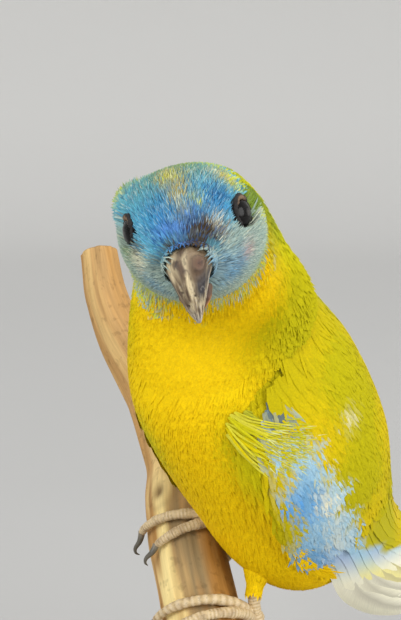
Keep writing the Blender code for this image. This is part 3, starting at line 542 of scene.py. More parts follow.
def calculate(group, kind, *values):
    """The result of a Math node on numbers or sockets."""
    return add_node(group, "Math", dict(enumerate(values)), operation=kind).outputs["Value"]


def close_effects(group, light, noise, height, smooth, rough):
    """Finishes a group: the painted tint times light, roughness from smooth to rough with the noise, and the height."""
    tint = add_node(group, "VertexColor", layer_name="tint").outputs["Color"]
    shade = add_node(group, "VectorMath", {0: tint, "Scale": light}, operation="SCALE")
    roughness = add_node(group, "MapRange", {"Value": noise, "To Min": smooth, "To Max": rough})
    out = group.nodes.new("NodeGroupOutput").inputs
    join(group, shade.outputs["Vector"], out["Color"])
    join(group, roughness.outputs["Result"], out["Roughness"])
    join(group, height, out["Height"])
    return group


def feather_effects():
    """Node group for feathers and skin: the painted tint with fine streaks, and the height of the barbs."""
    group, given = open_effects("feather_barbs", ("Barb Size", "Streak"))
    place = add_node(group, "TexCoord").outputs["Object"]
    noise = add_node(group, "TexNoise", {
        "Vector": place, "Scale": given["Barb Size"], "Detail": 3.0, "Roughness": 0.65,
    }).outputs["Fac"]
    spread = add_node(group, "MapRange", {
        "Value": noise, "From Min": 0.25, "From Max": 0.75, "To Min": -1.0, "To Max": 1.0,
    }).outputs["Result"]
    light = calculate(group, "MULTIPLY_ADD", spread, given["Streak"], 1.0)
    return close_effects(group, light, noise, noise, 0.62, 0.85)


FEATHER_EFFECTS = feather_effects()


def effect_material(name, group, values, roughness, bump, bump_distance=0.1, **sockets):
    """A material whose colour, roughness and height come from a node group with its own values."""
    material, tree, shader = new_material(name, roughness, **sockets)
    effect = add_node(tree, "Group", values, node_tree=group).outputs
    join(tree, effect["Color"], shader.inputs["Base Color"])
    join(tree, effect["Roughness"], shader.inputs["Roughness"])
    raised = add_node(tree, "Bump", {"Strength": bump, "Distance": bump_distance * MM, "Height": effect["Height"]})
    join(tree, raised.outputs["Normal"], shader.inputs["Normal"])
    return material


skin_material = effect_material("bird_skin", FEATHER_EFFECTS, {"Barb Size": 900.0, "Streak": 0.15}, 0.8, bump=0.4)

# Points of the skin and of the thighs, and of the lattice that tells where a point of the skin lies
SKIN_SECTIONS, SKIN_SIDES = 150, 96
THIGH_RINGS, THIGH_SIDES = 14, 32
LATTICE_SECTIONS, LATTICE_SIDES = 90, 72
skin_s = np.linspace(0, BODY_END, SKIN_SECTIONS)
skin_theta = np.linspace(-180, 180, SKIN_SIDES, endpoint=False)
skin_mesh = closed_loft("skin", body_at(skin_s[:, None], skin_theta[None, :], -COAT_DEPTH))
skin = add_piece("skin", skin_mesh, None)
thigh_holder = bpy.data.collections.new("thighs")
bpy.context.scene.collection.children.link(thigh_holder)
for side_name, rows in THIGHS.items():
    path = through(rows, np.linspace(0, len(rows) - 1, THIGH_RINGS))
    thigh_radii = np.maximum(path[:, 3] - THIGH_INSET, THIGH_INSET)
    thigh_mesh = closed_loft("thigh_" + side_name, tube(path[:, :3], thigh_radii, THIGH_SIDES))
    thigh_holder.objects.link(bpy.data.objects.new("thigh_" + side_name, thigh_mesh))
fused = skin.modifiers.new("thighs", "BOOLEAN")
fused.operation = "UNION"
fused.operand_type = "COLLECTION"
fused.collection = thigh_holder
fused_mesh = bpy.data.meshes.new_from_object(skin.evaluated_get(bpy.context.evaluated_depsgraph_get()))
skin.modifiers.clear()
skin.data = fused_mesh
for item in list(thigh_holder.objects):
    bpy.data.objects.remove(item, do_unlink=True)
bpy.data.collections.remove(thigh_holder)
fused_mesh.polygons.foreach_set("use_smooth", np.ones(len(fused_mesh.polygons), bool))

lattice_s, lattice_theta = np.meshgrid(
    np.linspace(0, BODY_END, LATTICE_SECTIONS), np.linspace(-180, 180, LATTICE_SIDES), indexing="ij"
)
lattice = body_at(lattice_s, lattice_theta, -COAT_DEPTH).reshape(-1, 3)


def nearest_place(points):
    """Section and angle of the lattice point nearest each point, found in blocks of whole arrays."""
    found = []
    for start in range(0, len(points), 1500):
        block = points[start:start + 1500]
        away = ((block[:, None, :] - lattice[None]) ** 2).sum(-1)
        found.append(away.argmin(1))
    found = np.concatenate(found)
    return lattice_s.ravel()[found], lattice_theta.ravel()[found]


skin_points = points_of(fused_mesh)
near_s, near_theta = nearest_place(skin_points)
still = np.zeros((len(skin_points), 4))
paint(fused_mesh, coat_colour(near_s, near_theta, skin_points, still) * UNDER_SHADE)
fused_mesh.materials.clear()
fused_mesh.materials.append(skin_material)
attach(skin, "root")
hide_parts("head", "neck", "torso")


# Coat: the small feathers of head, neck and body, each a tuft of solid curved blades that lie along the skin from
# the bill towards the tail and cover the roots of the ones behind.
EYE_CENTRE = np.array((7.8, -5.9, 1.0))
EYE_OUTWARD = unit(np.array((0.92, -0.37, 0.12)))
# Distance that the blades keep from the line out of each eye, size of a tuft's patch in the map, angle above which an
# edge is drawn sharp, and the rise of a blade's middle
EYE_CLEAR = 2.25
PATCH = 0.003
SHARP_EDGE = math.radians(70.0)
BLADE_BOW = 0.18
# Wing sections from the shoulder to the tip, in the torso's frame: distance along the body, sideways place and height
# of the section's centre, half width, height, depth, lowest and highest angle from the back in degrees
WING_SECTIONS = np.array((
    (8.0, -4.2, -1.0, 17.8, 15.6, 19.6, 100.0, 46.0),
    (14.0, -4.6, -2.0, 19.2, 17.8, 22.0, 124.0, 28.0),
    (24.0, -4.2, -2.0, 20.8, 18.8, 23.6, 139.0, 17.0),
    (40.0, -3.4, -2.0, 21.2, 17.8, 23.6, 145.0, 14.0),
    (56.0, -3.4, -1.5, 18.6, 15.0, 21.6, 142.0, 13.0),
    (70.0, -2.3, 0.5, 15.0, 12.4, 17.0, 130.0, 14.0),
    (84.0, -0.7, 7.0, 12.0, 9.6, 12.0, 113.0, 16.0),
    (98.0, 0.0, 14.5, 9.6, 7.6, 7.6, 94.0, 20.0),
    (110.0, 0.0, 21.0, 7.6, 6.4, 6.4, 76.0, 24.0),
    (120.0, 0.0, 26.5, 6.4, 5.6, 5.6, 62.0, 28.0),
))
RIGHT_WING_RAISED = 30.0
WING_Y, WING_LOW, WING_HIGH = WING_SECTIONS[:, 0], WING_SECTIONS[:, 6], WING_SECTIONS[:, 7]
# Degrees inside the wing's edges, and millimetres behind its front, that the coat's feathers still cover
WING_MARGIN, SHOULDER_MARGIN = 4.0, 4.0
coat_material = effect_material(
    "coat_feathers", FEATHER_EFFECTS, {"Barb Size": 2600.0, "Streak": 0.14}, 0.75, bump=0.2, bump_distance=0.04,
    Specular_IOR_Level=0.12,
)


def pace(place, u, v):
    """Millimetres for one unit of each of the two parameters of a surface."""
    step_u, step_v = 0.02, 0.5
    along = np.linalg.norm(place(u + step_u, v, 0.0) - place(u - step_u, v, 0.0), axis=-1) / (2 * step_u)
    around_it = np.linalg.norm(place(u, v + step_v, 0.0) - place(u, v - step_v, 0.0), axis=-1) / (2 * step_v)
    return np.maximum(along, 0.45 * np.median(along)), np.maximum(around_it, 0.3 * np.median(around_it))


def lay_blades(place, u, v, length, width, aim, root_lift, tip_lift, thickness, outline):
    """Points of solid blades laid along a surface: rings of three points and a tip.

    A blade runs from (u, v) by length in the direction aim, in degrees off the first parameter, at the larger of the
    surface's paces at its root and further along. At share t of its length its half width is the outline's, and its
    lift goes from root to tip with a bow of 4 t (1 - t). Each ring has a left, a raised middle and a right point, and
    they are placed by the surface's own formula.
    """
    along_pace, around_pace = pace(place, u, v)
    along_pace = np.maximum(along_pace, pace(place, u + 0.6 * length / along_pace, v)[0])
    shares, widths = np.array(outline, float).T
    t = shares[None, :]
    angle = np.radians(aim)[:, None]
    forward = length[:, None] * t
    lift = root_lift[:, None] + (tip_lift - root_lift)[:, None] * t + BLADE_BOW * 4 * t * (1 - t)
    half = 0.5 * width[:, None] * widths[None, :]
    corners = []
    for way, raised in ((-1.0, 0.0), (0.0, 1.0), (1.0, 0.0)):
        ahead = forward * np.cos(angle) - way * half * np.sin(angle)
        beside = forward * np.sin(angle) + way * half * np.cos(angle)
        height = lift + raised * thickness[:, None] * (0.35 + 0.65 * widths[None, :])
        at_u, at_v = u[:, None] + ahead / along_pace[:, None], v[:, None] + beside / around_pace[:, None]
        corners.append(place(at_u, at_v, height))
    return np.stack(corners, 2), np.broadcast_to(t, half.shape)


def blade_faces(rings):
    """Triangles of one blade with that many rings of three points and one tip point."""
    faces = [(0, 1, 2)]
    for ring in range(rings - 1):
        low, high = ring * 3, ring * 3 + 3
        for j in range(3):
            k = (j + 1) % 3
            faces.append((low + j, high + k, low + k))
            faces.append((low + j, high + j, high + k))
    last = (rings - 1) * 3
    for j in range(3):
        faces.append((last + j, rings * 3, last + (j + 1) % 3))
    return np.array(faces)


def repeat_faces(faces, count, each):
    """The faces of one item again for count items of so many points each."""
    return (faces[None] + (np.arange(count) * each)[:, None, None]).reshape(-1, faces.shape[1])


def add_map(mesh, name, places, faces):
    """Stores a map that gives each corner of the faces its point's place."""
    layer = mesh.uv_layers.new(name=name)
    layer.data.foreach_set("uv", places.reshape(-1, 2)[faces.ravel()].astype(np.float32).ravel())


def blades_mesh(name, points, colours, patches, outline):
    """One mesh of many blades, with their tint and their patches in the map OFBake."""
    count, rings = points.shape[:2]
    corners = np.concatenate([points[:, :-1].reshape(count, -1, 3), points[:, -1, 1][:, None]], 1)
    faces = repeat_faces(blade_faces(rings - 1), count, corners.shape[1])
    mesh = new_mesh(name, corners, faces)
    tint = np.concatenate([np.repeat(colours[:, :-1], 3, axis=1), colours[:, -1:]], 1)
    paint(mesh, tint.reshape(-1, 3))
    shares = np.array(outline, float)[:, 0]
    across = np.concatenate([np.tile((0.0, 0.5, 1.0), rings - 1), (0.5,)])
    along = np.concatenate([np.repeat(shares[:-1], 3), (1.0,)])
    add_map(mesh, "OFBake", patches[:, None, :] + PATCH * np.stack([across, along], -1)[None], faces)
    mesh.set_sharp_from_angle(angle=SHARP_EDGE)
    return mesh


def scatter(u_range, v_range, spacing, place, draw):
    """Seeded roots on a surface about spacing apart, in rows that each hold what the way round the surface asks for."""
    u_low, u_high = u_range
    v_low, v_high = v_range
    tries = np.linspace(v_low, v_high, 13)
    rows = []
    u = u_low
    while u < u_high:
        along_pace, around_pace = pace(place, np.full(len(tries), u), tries)
        count = max(int(around_pace.mean() * (v_high - v_low) / spacing), 3)
        v = v_low + (np.arange(count) + draw.uniform(0, 1)) * (v_high - v_low) / count
        v = v + draw.uniform(-0.45, 0.45, count) * (v_high - v_low) / count
        rows.append(np.stack([u + draw.uniform(-0.5, 0.5, count) * spacing / along_pace.mean(), v], 1))
        u += spacing * 0.86 / along_pace.mean()
    return np.concatenate(rows).T


def off_eyes(points):
    """True for blades that stay off both eyes: all their points keep clear of the line out of each."""
    keep = np.ones(len(points), bool)
    local = (points.reshape(len(points), -1, 3) - HEAD_CENTRE) @ HEAD_AXES
    for side in (1, -1):
        mirror = np.array((side, 1, 1))
        away = local - EYE_CENTRE * mirror
        out = EYE_OUTWARD * mirror
        ahead = away @ out
        beside = np.linalg.norm(away - ahead[..., None] * out, axis=-1)
        keep &= ~((beside < EYE_CLEAR) & (ahead > -1.0)).any(1)
    return keep


# Outlines of a barb and of a small vane: share of the length and half width there
BARB = ((0.0, 0.55), (0.35, 1.0), (0.75, 0.75), (1.0, 0.0))
VANE = ((0.0, 0.55), (0.3, 0.95), (0.6, 1.0), (0.85, 0.72), (1.0, 0.0))


def tufts(place, u, v, length, width, spread, count, lifts, thickness, draw, outline, lean):
    """Blades of tufts: count blades fanned over spread degrees from each root, with seeded lengths and lifts."""
    roots = len(u)
    fan = (np.arange(count) - (count - 1) / 2) / max(count - 1, 1)
    aim = (np.reshape(lean, (-1, 1)) + fan[None, :] * spread + draw.normal(0, 5.0, (roots, count))).ravel()

    def repeat(values):
        return np.repeat(np.broadcast_to(values, (roots,)), count)

    long = repeat(length) * draw.uniform(0.8, 1.12, roots * count)
    wide = repeat(width) * draw.uniform(0.8, 1.2, roots * count)
    shift = (fan[None, :] * 0.8 + draw.uniform(-0.2, 0.2, (roots, count))).ravel() * wide
    start_v = repeat(v) + shift / repeat(pace(place, u, v)[1])
    root_lift = repeat(lifts[0]) + draw.uniform(-0.05, 0.05, roots * count)
    tip_lift = repeat(lifts[1]) + draw.uniform(-0.05, 0.05, roots * count)
    points, t = lay_blades(
        place, repeat(u), start_v, long, wide, aim, root_lift, tip_lift, repeat(thickness), outline
    )
    return points, t, np.repeat(np.arange(roots), count)


def wing_shadow(s, theta):
    """True where a folded wing lies on the torso, but for the margin left to feathers that overlap its edge."""
    y = ((body_at(s, theta) - NECK_CENTRE) @ BODY_AXES)[:, 1]
    theta = half_turn(theta)
    low = np.interp(y, WING_Y, WING_LOW) - np.where(theta < 0, RIGHT_WING_RAISED, 0.0) - WING_MARGIN
    high = np.interp(y, WING_Y, WING_HIGH) + WING_MARGIN
    return (np.abs(theta) < low) & (np.abs(theta) > high) & (y > WING_Y[0] + SHOULDER_MARGIN)


def root_patches(s, theta):
    """Corner of each tuft's patch in the map: its root's place on the unrolled skin."""
    return np.stack([(theta + 180) % 360 / 360 * 0.99, s / BODY_END * 0.99], -1)


def join_pieces(name, meshes, material):
    """Several meshes as one piece."""
    piece = add_piece(name, meshes[0], material)
    for extra in meshes[1:]:
        extra.materials.append(material)
        other = add_piece(name + "_extra", extra, None)
        with bpy.context.temp_override(active_object=piece, selected_editable_objects=[piece, other]):
            bpy.ops.object.join()
    return piece


def feather_layers(place, u, v, length, lifts, layers, colours, patches, draw, lean=0.0, vary=0.10, painted_root_shade=0.10):
    """Meshes of the tufts rooted at (u, v), one for each layer: outline, count, width, fan, thickness and drop.

    Each blade's colour is its root's, lighter or darker by up to half of vary, and darker at its root by the last
    argument's share of painted shade.
    """
    meshes = []
    for number, (outline, count, width, fan, thickness, drop) in enumerate(layers):
        points, t, owner = tufts(
            place, u, v, length, width, fan, count, (lifts[0] + drop, lifts[1] + drop), thickness, draw, outline, lean
        )
        clear = off_eyes(points)
        points, t, owner = points[clear], t[clear], owner[clear]
        tint = colours[owner] * (1 + vary * (draw.uniform(0, 1, (len(owner), 1)) - 0.5))
        # Painted shade: each blade is darker at its root, under the blades ahead that lie over it, and lighter towards
        # its tip
        shaded = tint[:, None] * (1 - painted_root_shade + 1.2 * painted_root_shade * t[..., None])
        meshes.append(blades_mesh("layer" + str(number), points, shaded, patches[owner], outline))
    return meshes


def coat_piece(name, s_range, theta_range, spacing, length, lifts, layers, seed, vary, painted_root_shade):
    """One region of the coat as a piece."""
    draw = np.random.default_rng(seed)
    s, theta = scatter(s_range, theta_range, spacing, body_at, draw)
    keep = ~wing_shadow(s, theta)
    s, theta = s[keep], theta[keep]
    salt = draw.uniform(0, 1, (len(s), 4))
    long = length(s) if callable(length) else length
    high = lifts(s, theta) if callable(lifts) else lifts
    tip_s = s + 0.7 * long / pace(body_at, s, theta)[0]
    colours = coat_colour(tip_s, theta, body_at(tip_s, theta), salt)
    meshes = feather_layers(
        body_at, s, theta, long, high, layers, colours, root_patches(s, theta), draw, vary=vary, painted_root_shade=painted_root_shade
    )
    piece = join_pieces(name, meshes, coat_material)
    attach(piece, "root")
    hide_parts("head", "neck", "torso")


def face_length(s):
    """Length of a feather: shortest by the bill and longest at the fringe under the cheeks."""
    return 1.9 + 0.70 * np.clip(s, 0, 4) + 0.8 * soft_step(4.2, 5.4, s)


def face_lifts(s, theta):
    """Lift of roots and tips: the crown's right corner and the right cheek stand up, the nape's left side lies flat."""
    theta = half_turn(theta)
    corner = near(s, theta, (3.7, -55), (1.0, 15))
    slope = near(s, theta, (3.2, 58), (1.8, 20))
    nape = near(s, theta, (4.4, 92), (1.2, 30))
    top = near(s, theta, (3.9, -2), (1.3, 42))
    cheek = near(s, theta, (4.6, -122), (1.3, 26))
    return -COAT_DEPTH - 0.2, 0.1 - 0.8 * top + 1.5 * cheek + 2.2 * corner - 1.0 * slope - 1.3 * nape


def neck_lifts(s, theta):
    """Lift of roots and tips: the feathers of the nape's left side stand off and fill the bend to the shoulder."""
    theta = half_turn(theta)
    full = near(s, theta, (6.9, 84), (0.7, 30))
    flat = near(s, theta, (5.2, 90), (0.8, 30))
    cheek = near(s, theta, (4.9, -122), (0.7, 26))
    tip = 0.1 + 2.5 * full + 1.2 * cheek - 1.3 * flat - 0.5 * soft_step(110, 150, np.abs(theta))
    return -COAT_DEPTH - 0.1 + 2.2 * full, tip


# Layers of a tuft: outline, count, width, fan, thickness, drop below the top layer
NECK_LAYERS = ((BARB, 2, 0.6, 18, 0.03, 0.0), (VANE, 1, 2.3, 0.0, 0.08, -0.10))
FACE_LAYERS = ((BARB, 3, 0.30, 24, 0.12, 0.0),)
CROWN_LAYERS = ((BARB, 3, 0.40, 22, 0.12, 0.0), (VANE, 1, 1.2, 0.0, 0.12, -0.2))
BODY_LAYERS = ((BARB, 3, 0.75, 22, 0.05, 0.0), (VANE, 1, 2.6, 0.0, 0.12, -0.12))
coat_regions = {
    "coat_face": dict(s_range=(0.02, 2.6), theta_range=(-180, 180), spacing=0.44, length=face_length,
                      lifts=face_lifts, layers=FACE_LAYERS, seed=11, vary=0.5, painted_root_shade=0.25),
    "coat_crown": dict(s_range=(2.6, 5.0), theta_range=(-180, 180), spacing=0.70, length=face_length,
                       lifts=face_lifts, layers=CROWN_LAYERS, seed=12, vary=0.28, painted_root_shade=0.18),
    "coat_neck": dict(s_range=(5.0, 7.2), theta_range=(-180, 180), spacing=0.85, length=4.2,
                      lifts=neck_lifts, layers=NECK_LAYERS, seed=13, vary=0.08, painted_root_shade=0.06),
    "coat_breast": dict(s_range=(6.95, 10.0), theta_range=(0, 360), spacing=1.1, length=6.5,
                        lifts=(-COAT_DEPTH - 0.1, 0.1), layers=BODY_LAYERS, seed=14, vary=0.06, painted_root_shade=0.05),
    "coat_belly": dict(s_range=(10.0, 13.0), theta_range=(0, 360), spacing=1.1, length=7.0,
                       lifts=(-COAT_DEPTH - 0.1, 0.1), layers=BODY_LAYERS, seed=15, vary=0.06, painted_root_shade=0.05),
    "coat_tail_root": dict(s_range=(13.0, 16.6), theta_range=(0, 360), spacing=1.5, length=9.0,
                           lifts=(-0.8, 0.2), layers=BODY_LAYERS, seed=16, vary=0.08, painted_root_shade=0.06),
}
for name, sizes in coat_regions.items():
    coat_piece(name, **sizes)


# Wings: a folded arm under small coverts, then rows of solid vanes that overlap like roof tiles: median and greater
# coverts, secondaries and primaries. Each vane is a thin curved sheet with a raised shaft, as a real feather is.
# Count, share of the way from the lower to the upper edge, roots and tips of the first and the last, half width,
# lift off the skin, tilt of one over the next
WING_TIERS = {
    "primary": (9, (0.0, 0.42), (42.0, 46.0), (120.0, 96.0), 4.0, 0.25, 1.1),
    "secondary": (10, (0.34, 1.0), (40.0, 34.0), (90.0, 66.0), 4.4, 0.8, 0.8),
    "covert": (13, (0.0, 1.0), (31.0, 27.0), (59.0, 50.0), 3.6, 1.35, 0.6),
    "median": (15, (0.0, 1.0), (20.0, 18.0), (42.0, 37.0), 3.0, 1.55, 0.45),
}
FEATHER_OUTLINE = ((0.0, 0.5), (0.12, 0.8), (0.3, 0.95), (0.55, 1.0), (0.8, 0.96), (0.92, 0.78), (1.0, 0.34))
# Vanes: thickness, height of the shaft's ridge, points along and across, how far the tip's sides draw back and its
# points stray, and how far the primaries droop, in degrees, and hang, in millimetres, towards their tips
VANE_THICKNESS = 0.24
SHAFT_HEIGHT = 0.16
VANE_ROWS, VANE_COLUMNS = 30, 11
TIP_ROUND, TIP_RAGGED = 3.0, 0.175
PRIMARY_DROOP = 38.0
PRIMARY_HANG = 10.0
# Lower end of the yellow coverts of the left wing: distance along the body and angle from the back
YELLOW_END = (
    (14, 150), (16, 142), (18, 125), (20, 121), (29, 119), (43, 116), (54, 115), (57, 119), (72, 108), (77, 98),
    (96, 80),
)
# Where the yellow of the flank starts under the blue edge: distance and angle from the back
FLANK_EDGE = (
    (14, 112), (17, 125), (19, 129), (24, 132), (33, 138), (42, 142), (52, 148), (60, 150), (66, 160), (120, 180),
)
WORN_BLUE = srgb(150, 190, 212)
# Marks on the wing's lower edge: colour, distance, angle, reach in each, strength
WING_MARKS = (
    (BLUE, 33.9, 129, 5.5, 4.5, 0.75), (srgb(70, 150, 222), 37.0, 138, 4.5, 4.0, 0.95),
    (srgb(90, 150, 200), 53.0, 140, 6.5, 4.5, 0.9), (PALE_BLUE, 40.0, 117, 9.0, 4.0, 0.8),
    (CREAM, 39.4, 124, 4.5, 3.5, 0.9), (CREAM, 51.0, 126, 6.0, 5.0, 0.6),
    (srgb(162, 182, 214), 61.4, 133, 7.0, 6.0, 0.9), (srgb(164, 186, 212), 71.0, 114, 8.0, 6.0, 0.9),
    (srgb(58, 66, 70), 19.0, 126, 2.2, 4.5, 1.6), (PALE_BLUE, 25.0, 127, 5.0, 7.0, 0.8),
)
PRIMARY_WHITE = srgb(244, 240, 214)
PRIMARY_YELLOW = srgb(232, 218, 96)
PRIMARY_GREY = srgb(158, 150, 140)
# Distances over which the edge between wing and flank changes from the shoulder to the back, and the degrees past the
# wing's lower edge where the small coverts end and the flank feathers begin at the two
SHOULDER_RANGE = (14.0, 24.0)
COVERT_END, FLANK_START = (5.0, 2.0), (-2.0, 2.0)
# Small coverts: their field's distances, angles and spacing, the distances over which they thin out, their length, and
# the lift of their roots and of their tips at six distances
COVERT_FIELD = ((5.5, 55.0), (10.0, 150.0), 1.2)
COVERTS_THIN = (40.0, 56.0)
COVERT_LENGTH = 7.0
COVERT_LIFTS = (
    (6.0, 10.0, 16.0, 24.0, 40.0, 54.0), (-0.2, 0.9, 1.9, 2.35, 2.2, 1.7), (1.1, 2.2, 2.8, 3.0, 2.8, 2.1),
)
# Flank feathers: their field, its width in degrees past the wing's lower edge, their length and lean
FLANK_FIELD = ((7.0, 60.0), (88.0, 168.0), 0.95)
FLANK_WIDTH = 14.0
FLANK_LENGTH = 5.2
FLANK_LEAN = -10.0
FLANK_LAYERS = ((BARB, 4, 0.5, 30, 0.05, 0.0), (VANE, 1, 1.3, 0.0, 0.08, -0.10))
# Tuft of long feathers across the left wing's edge: its field, its middle and reach, its feathers' shortest and
# longest, lifts, colours, lean and layer
TUFT_FIELD = ((12.0, 26.0), (122.0, 154.0), 0.8)
TUFT_MIDDLE, TUFT_REACH = (17.5, 140.0), (4.8, 10.0)
TUFT_LENGTHS, TUFT_LIFTS = (7.0, 11.0), (-0.2, 3.3)
TUFT_COLOURS = np.array((
    srgb(216, 220, 150), srgb(214, 206, 50), srgb(206, 198, 20), srgb(190, 190, 50), srgb(216, 196, 0),
    srgb(214, 206, 60),
))
TUFT_LEAN = -40.0
TUFT_LAYERS = ((BARB, 5, 0.42, 24, 0.03, 0.0),)
# Arm: points along and across, and the distance where it ends
ARM_ROWS, ARM_ACROSS = 40, 24
ARM_END = 46.0


def wing_row(distance):
    """Numbers of a wing's section at a distance along the body."""
    return through(WING_SECTIONS, np.interp(distance, WING_Y, np.arange(len(WING_Y))))


def wing_at(distance, angle, lift, side):
    """World place on a folded wing: distance along the body, angle from the back in degrees, lift off the skin."""
    distance, angle, lift = np.broadcast_arrays(np.asarray(distance, float), np.radians(angle), lift)
    row = wing_row(distance)
    upright = np.where(np.cos(angle) > 0, row[..., 4], row[..., 5]) + lift
    x = row[..., 1] + side * (row[..., 3] + lift) * np.sin(angle)
    return from_body(np.stack([x, distance, row[..., 2] + upright * np.cos(angle)], -1))


def wing_reach(distance, side):
    """Half width, lowest and highest angle of a folded wing at a distance."""
    row = wing_row(distance)
    return row[..., 3], row[..., 6] - (RIGHT_WING_RAISED if side < 0 else 0.0), row[..., 7]


def wing_colour(distance, angle, places, side, salt):
    """Yellow coverts above, the worn blue and cream edge below them, and pale long feathers beyond."""
    angle = angle + (0.3 * RIGHT_WING_RAISED if side < 0 else 0.0)
    colour = blend_colours(WING_YELLOW, LEAF_YELLOW, 0.35 * soft_step(70, 25, angle))
    colour = blend_colours(colour, DEEP_YELLOW, np.clip(0.1 + 0.2 * ripple(places, 18.0, 8), 0, 0.4))
    distances, ends = np.array(YELLOW_END, float).T
    wander = 2.5 * ripple(places, 7.0, 9) + 0.8 * (salt - 0.5)
    below = soft_step(-3.5, 3.5, angle - np.interp(distance, distances, ends) + wander)
    colour = blend_colours(colour, CREAM, 0.7 * near(distance, angle, (27.5, 97), (1.6, 3.5)) * (0.4 + salt))
    edge = add_marks(WORN_BLUE, distance, angle, WING_MARKS, 0.9)
    distances, lows = np.array(FLANK_EDGE, float).T
    below = below * soft_step(3.0, -3.0, angle - np.interp(distance, distances, lows) + 0.8 * wander)
    if side < 0:
        below = below * soft_step(56, 70, distance)
    colour = blend_colours(colour, edge, below)
    long_feathers = soft_step(66, 84, distance + 0.35 * (angle - 110))
    pale = blend_colours(PRIMARY_WHITE, PRIMARY_YELLOW, soft_step(0.2, 0.9, salt) * 0.7)
    return blend_colours(colour, pale, long_feathers * below)


def vane_effects():
    """Node group for large feathers: the painted tint, streaked along the barbs, and the barbs' height.

    Barbs leave the shaft slantwise, so the pattern is noise along distance minus a share of the way off the shaft.
    """
    group, given = open_effects("vane_barbs", ("Barb Size", "Slant", "Streak"))
    lie = add_node(group, "UVMap", uv_map="lie").outputs["UV"]
    way = add_node(group, "SeparateXYZ", {"Vector": lie}).outputs
    slant = calculate(group, "MULTIPLY", calculate(group, "ABSOLUTE", way["X"]), given["Slant"])
    barb = calculate(group, "SUBTRACT", way["Y"], slant)
    place = add_node(group, "CombineXYZ", {
        "X": calculate(group, "MULTIPLY", barb, given["Barb Size"]), "Y": calculate(group, "MULTIPLY", way["X"], 3.0),
    }).outputs["Vector"]
    noise = add_node(group, "TexNoise", {"Vector": place, "Scale": 1.0, "Detail": 3.0}).outputs["Fac"]
    light = calculate(group, "MULTIPLY_ADD", calculate(group, "SUBTRACT", noise, 0.5), given["Streak"], 1.0)
    return close_effects(group, light, noise, noise, 0.5, 0.75)


VANE_EFFECTS = vane_effects()
vane_material = effect_material(
    "flight_feathers", VANE_EFFECTS, {"Barb Size": 45.0, "Slant": 1.3, "Streak": 0.35}, 0.6, bump=0.35,
    bump_distance=0.08, Specular_IOR_Level=0.15,
)


def sheet_faces(rows, columns):
    """Faces of one closed vane: each ring runs over the top and back underneath, and a ladder closes each end."""
    around_it = 2 * columns
    quads = grid_faces(rows, around_it)
    j = np.arange(columns - 1)
    root = np.stack([j + 1, j, around_it - 1 - j, around_it - 2 - j], 1)
    last = (rows - 1) * around_it
    tip = np.stack([last + j, last + j + 1, last + around_it - 2 - j, last + around_it - 1 - j], 1)
    return np.concatenate([quads, root, tip])


def vane_grid(place, roots, tips, half_widths, draw):
    """Points of vanes: rings over the top and back underneath, for arrays of roots, tips and half widths.

    place gives the world place at (distance, half width, way across, height). The outline narrows each ring, its
    sides draw back from the tip by the square of their way, and the height is a low arch with a ridge for the shaft.
    """
    count = len(roots)
    t = np.linspace(0, 1, VANE_ROWS) ** 0.9
    w = np.linspace(-1, 1, VANE_COLUMNS)
    shares, widths = np.array(FEATHER_OUTLINE).T
    half = half_widths[:, None] * np.interp(t, shares, widths)[None]
    half = half * (1 + 0.03 * draw.normal(size=half.shape))
    distance = roots[:, None] + (tips - roots)[:, None] * t[None]
    nearly_tip = soft_step(0.8, 1.0, t)[None, :, None]
    distance = distance[..., None] - nearly_tip * TIP_ROUND * (w**2)[None, None]
    distance = distance + TIP_RAGGED * draw.normal(size=distance.shape) * nearly_tip
    way = half[..., None] * w[None, None]
    arch = VANE_THICKNESS * (0.35 + 0.65 * (1 - w**2))
    ridge = SHAFT_HEIGHT * np.exp(-((w / 0.09) ** 2))
    top = (arch + ridge) * (1 - 0.5 * t[:, None])
    number = np.arange(count)[:, None, None]
    over = place(number, distance, half[..., None], way, top)
    under = place(number, distance, half[..., None], way, 0.0)
    points = np.concatenate([over, under[:, :, ::-1]], 2)
    ways = np.concatenate([way, way[:, :, ::-1]], 2)
    distances = np.concatenate([distance, distance[:, :, ::-1]], 2)
    return points, distances, ways


def vanes_mesh(name, points, distances, ways, colours):
    """One mesh of many vanes, with their tint, the map of their lie and a strip each in the map OFBake."""
    count, rows, around_it = points.shape[:3]
    each = rows * around_it
    faces = repeat_faces(sheet_faces(rows, around_it // 2), count, each)
    mesh = new_mesh(name, points, faces)
    paint(mesh, colours.reshape(-1, 3))
    lie = np.stack([ways.ravel(), distances.ravel() + 0.37 * np.repeat(np.arange(count), each)], 1) * 0.1
    add_map(mesh, "lie", lie, faces)
    across = np.broadcast_to((np.arange(around_it) + 0.5) / around_it, (count, rows, around_it))
    strip = (np.arange(count)[:, None, None] + 0.05 + 0.9 * across) / count
    along = np.broadcast_to(np.linspace(0.01, 0.99, rows)[None, :, None], across.shape)
    add_map(mesh, "OFBake", np.stack([strip, along], -1), faces)
    mesh.set_sharp_from_angle(angle=SHARP_EDGE)
    return mesh


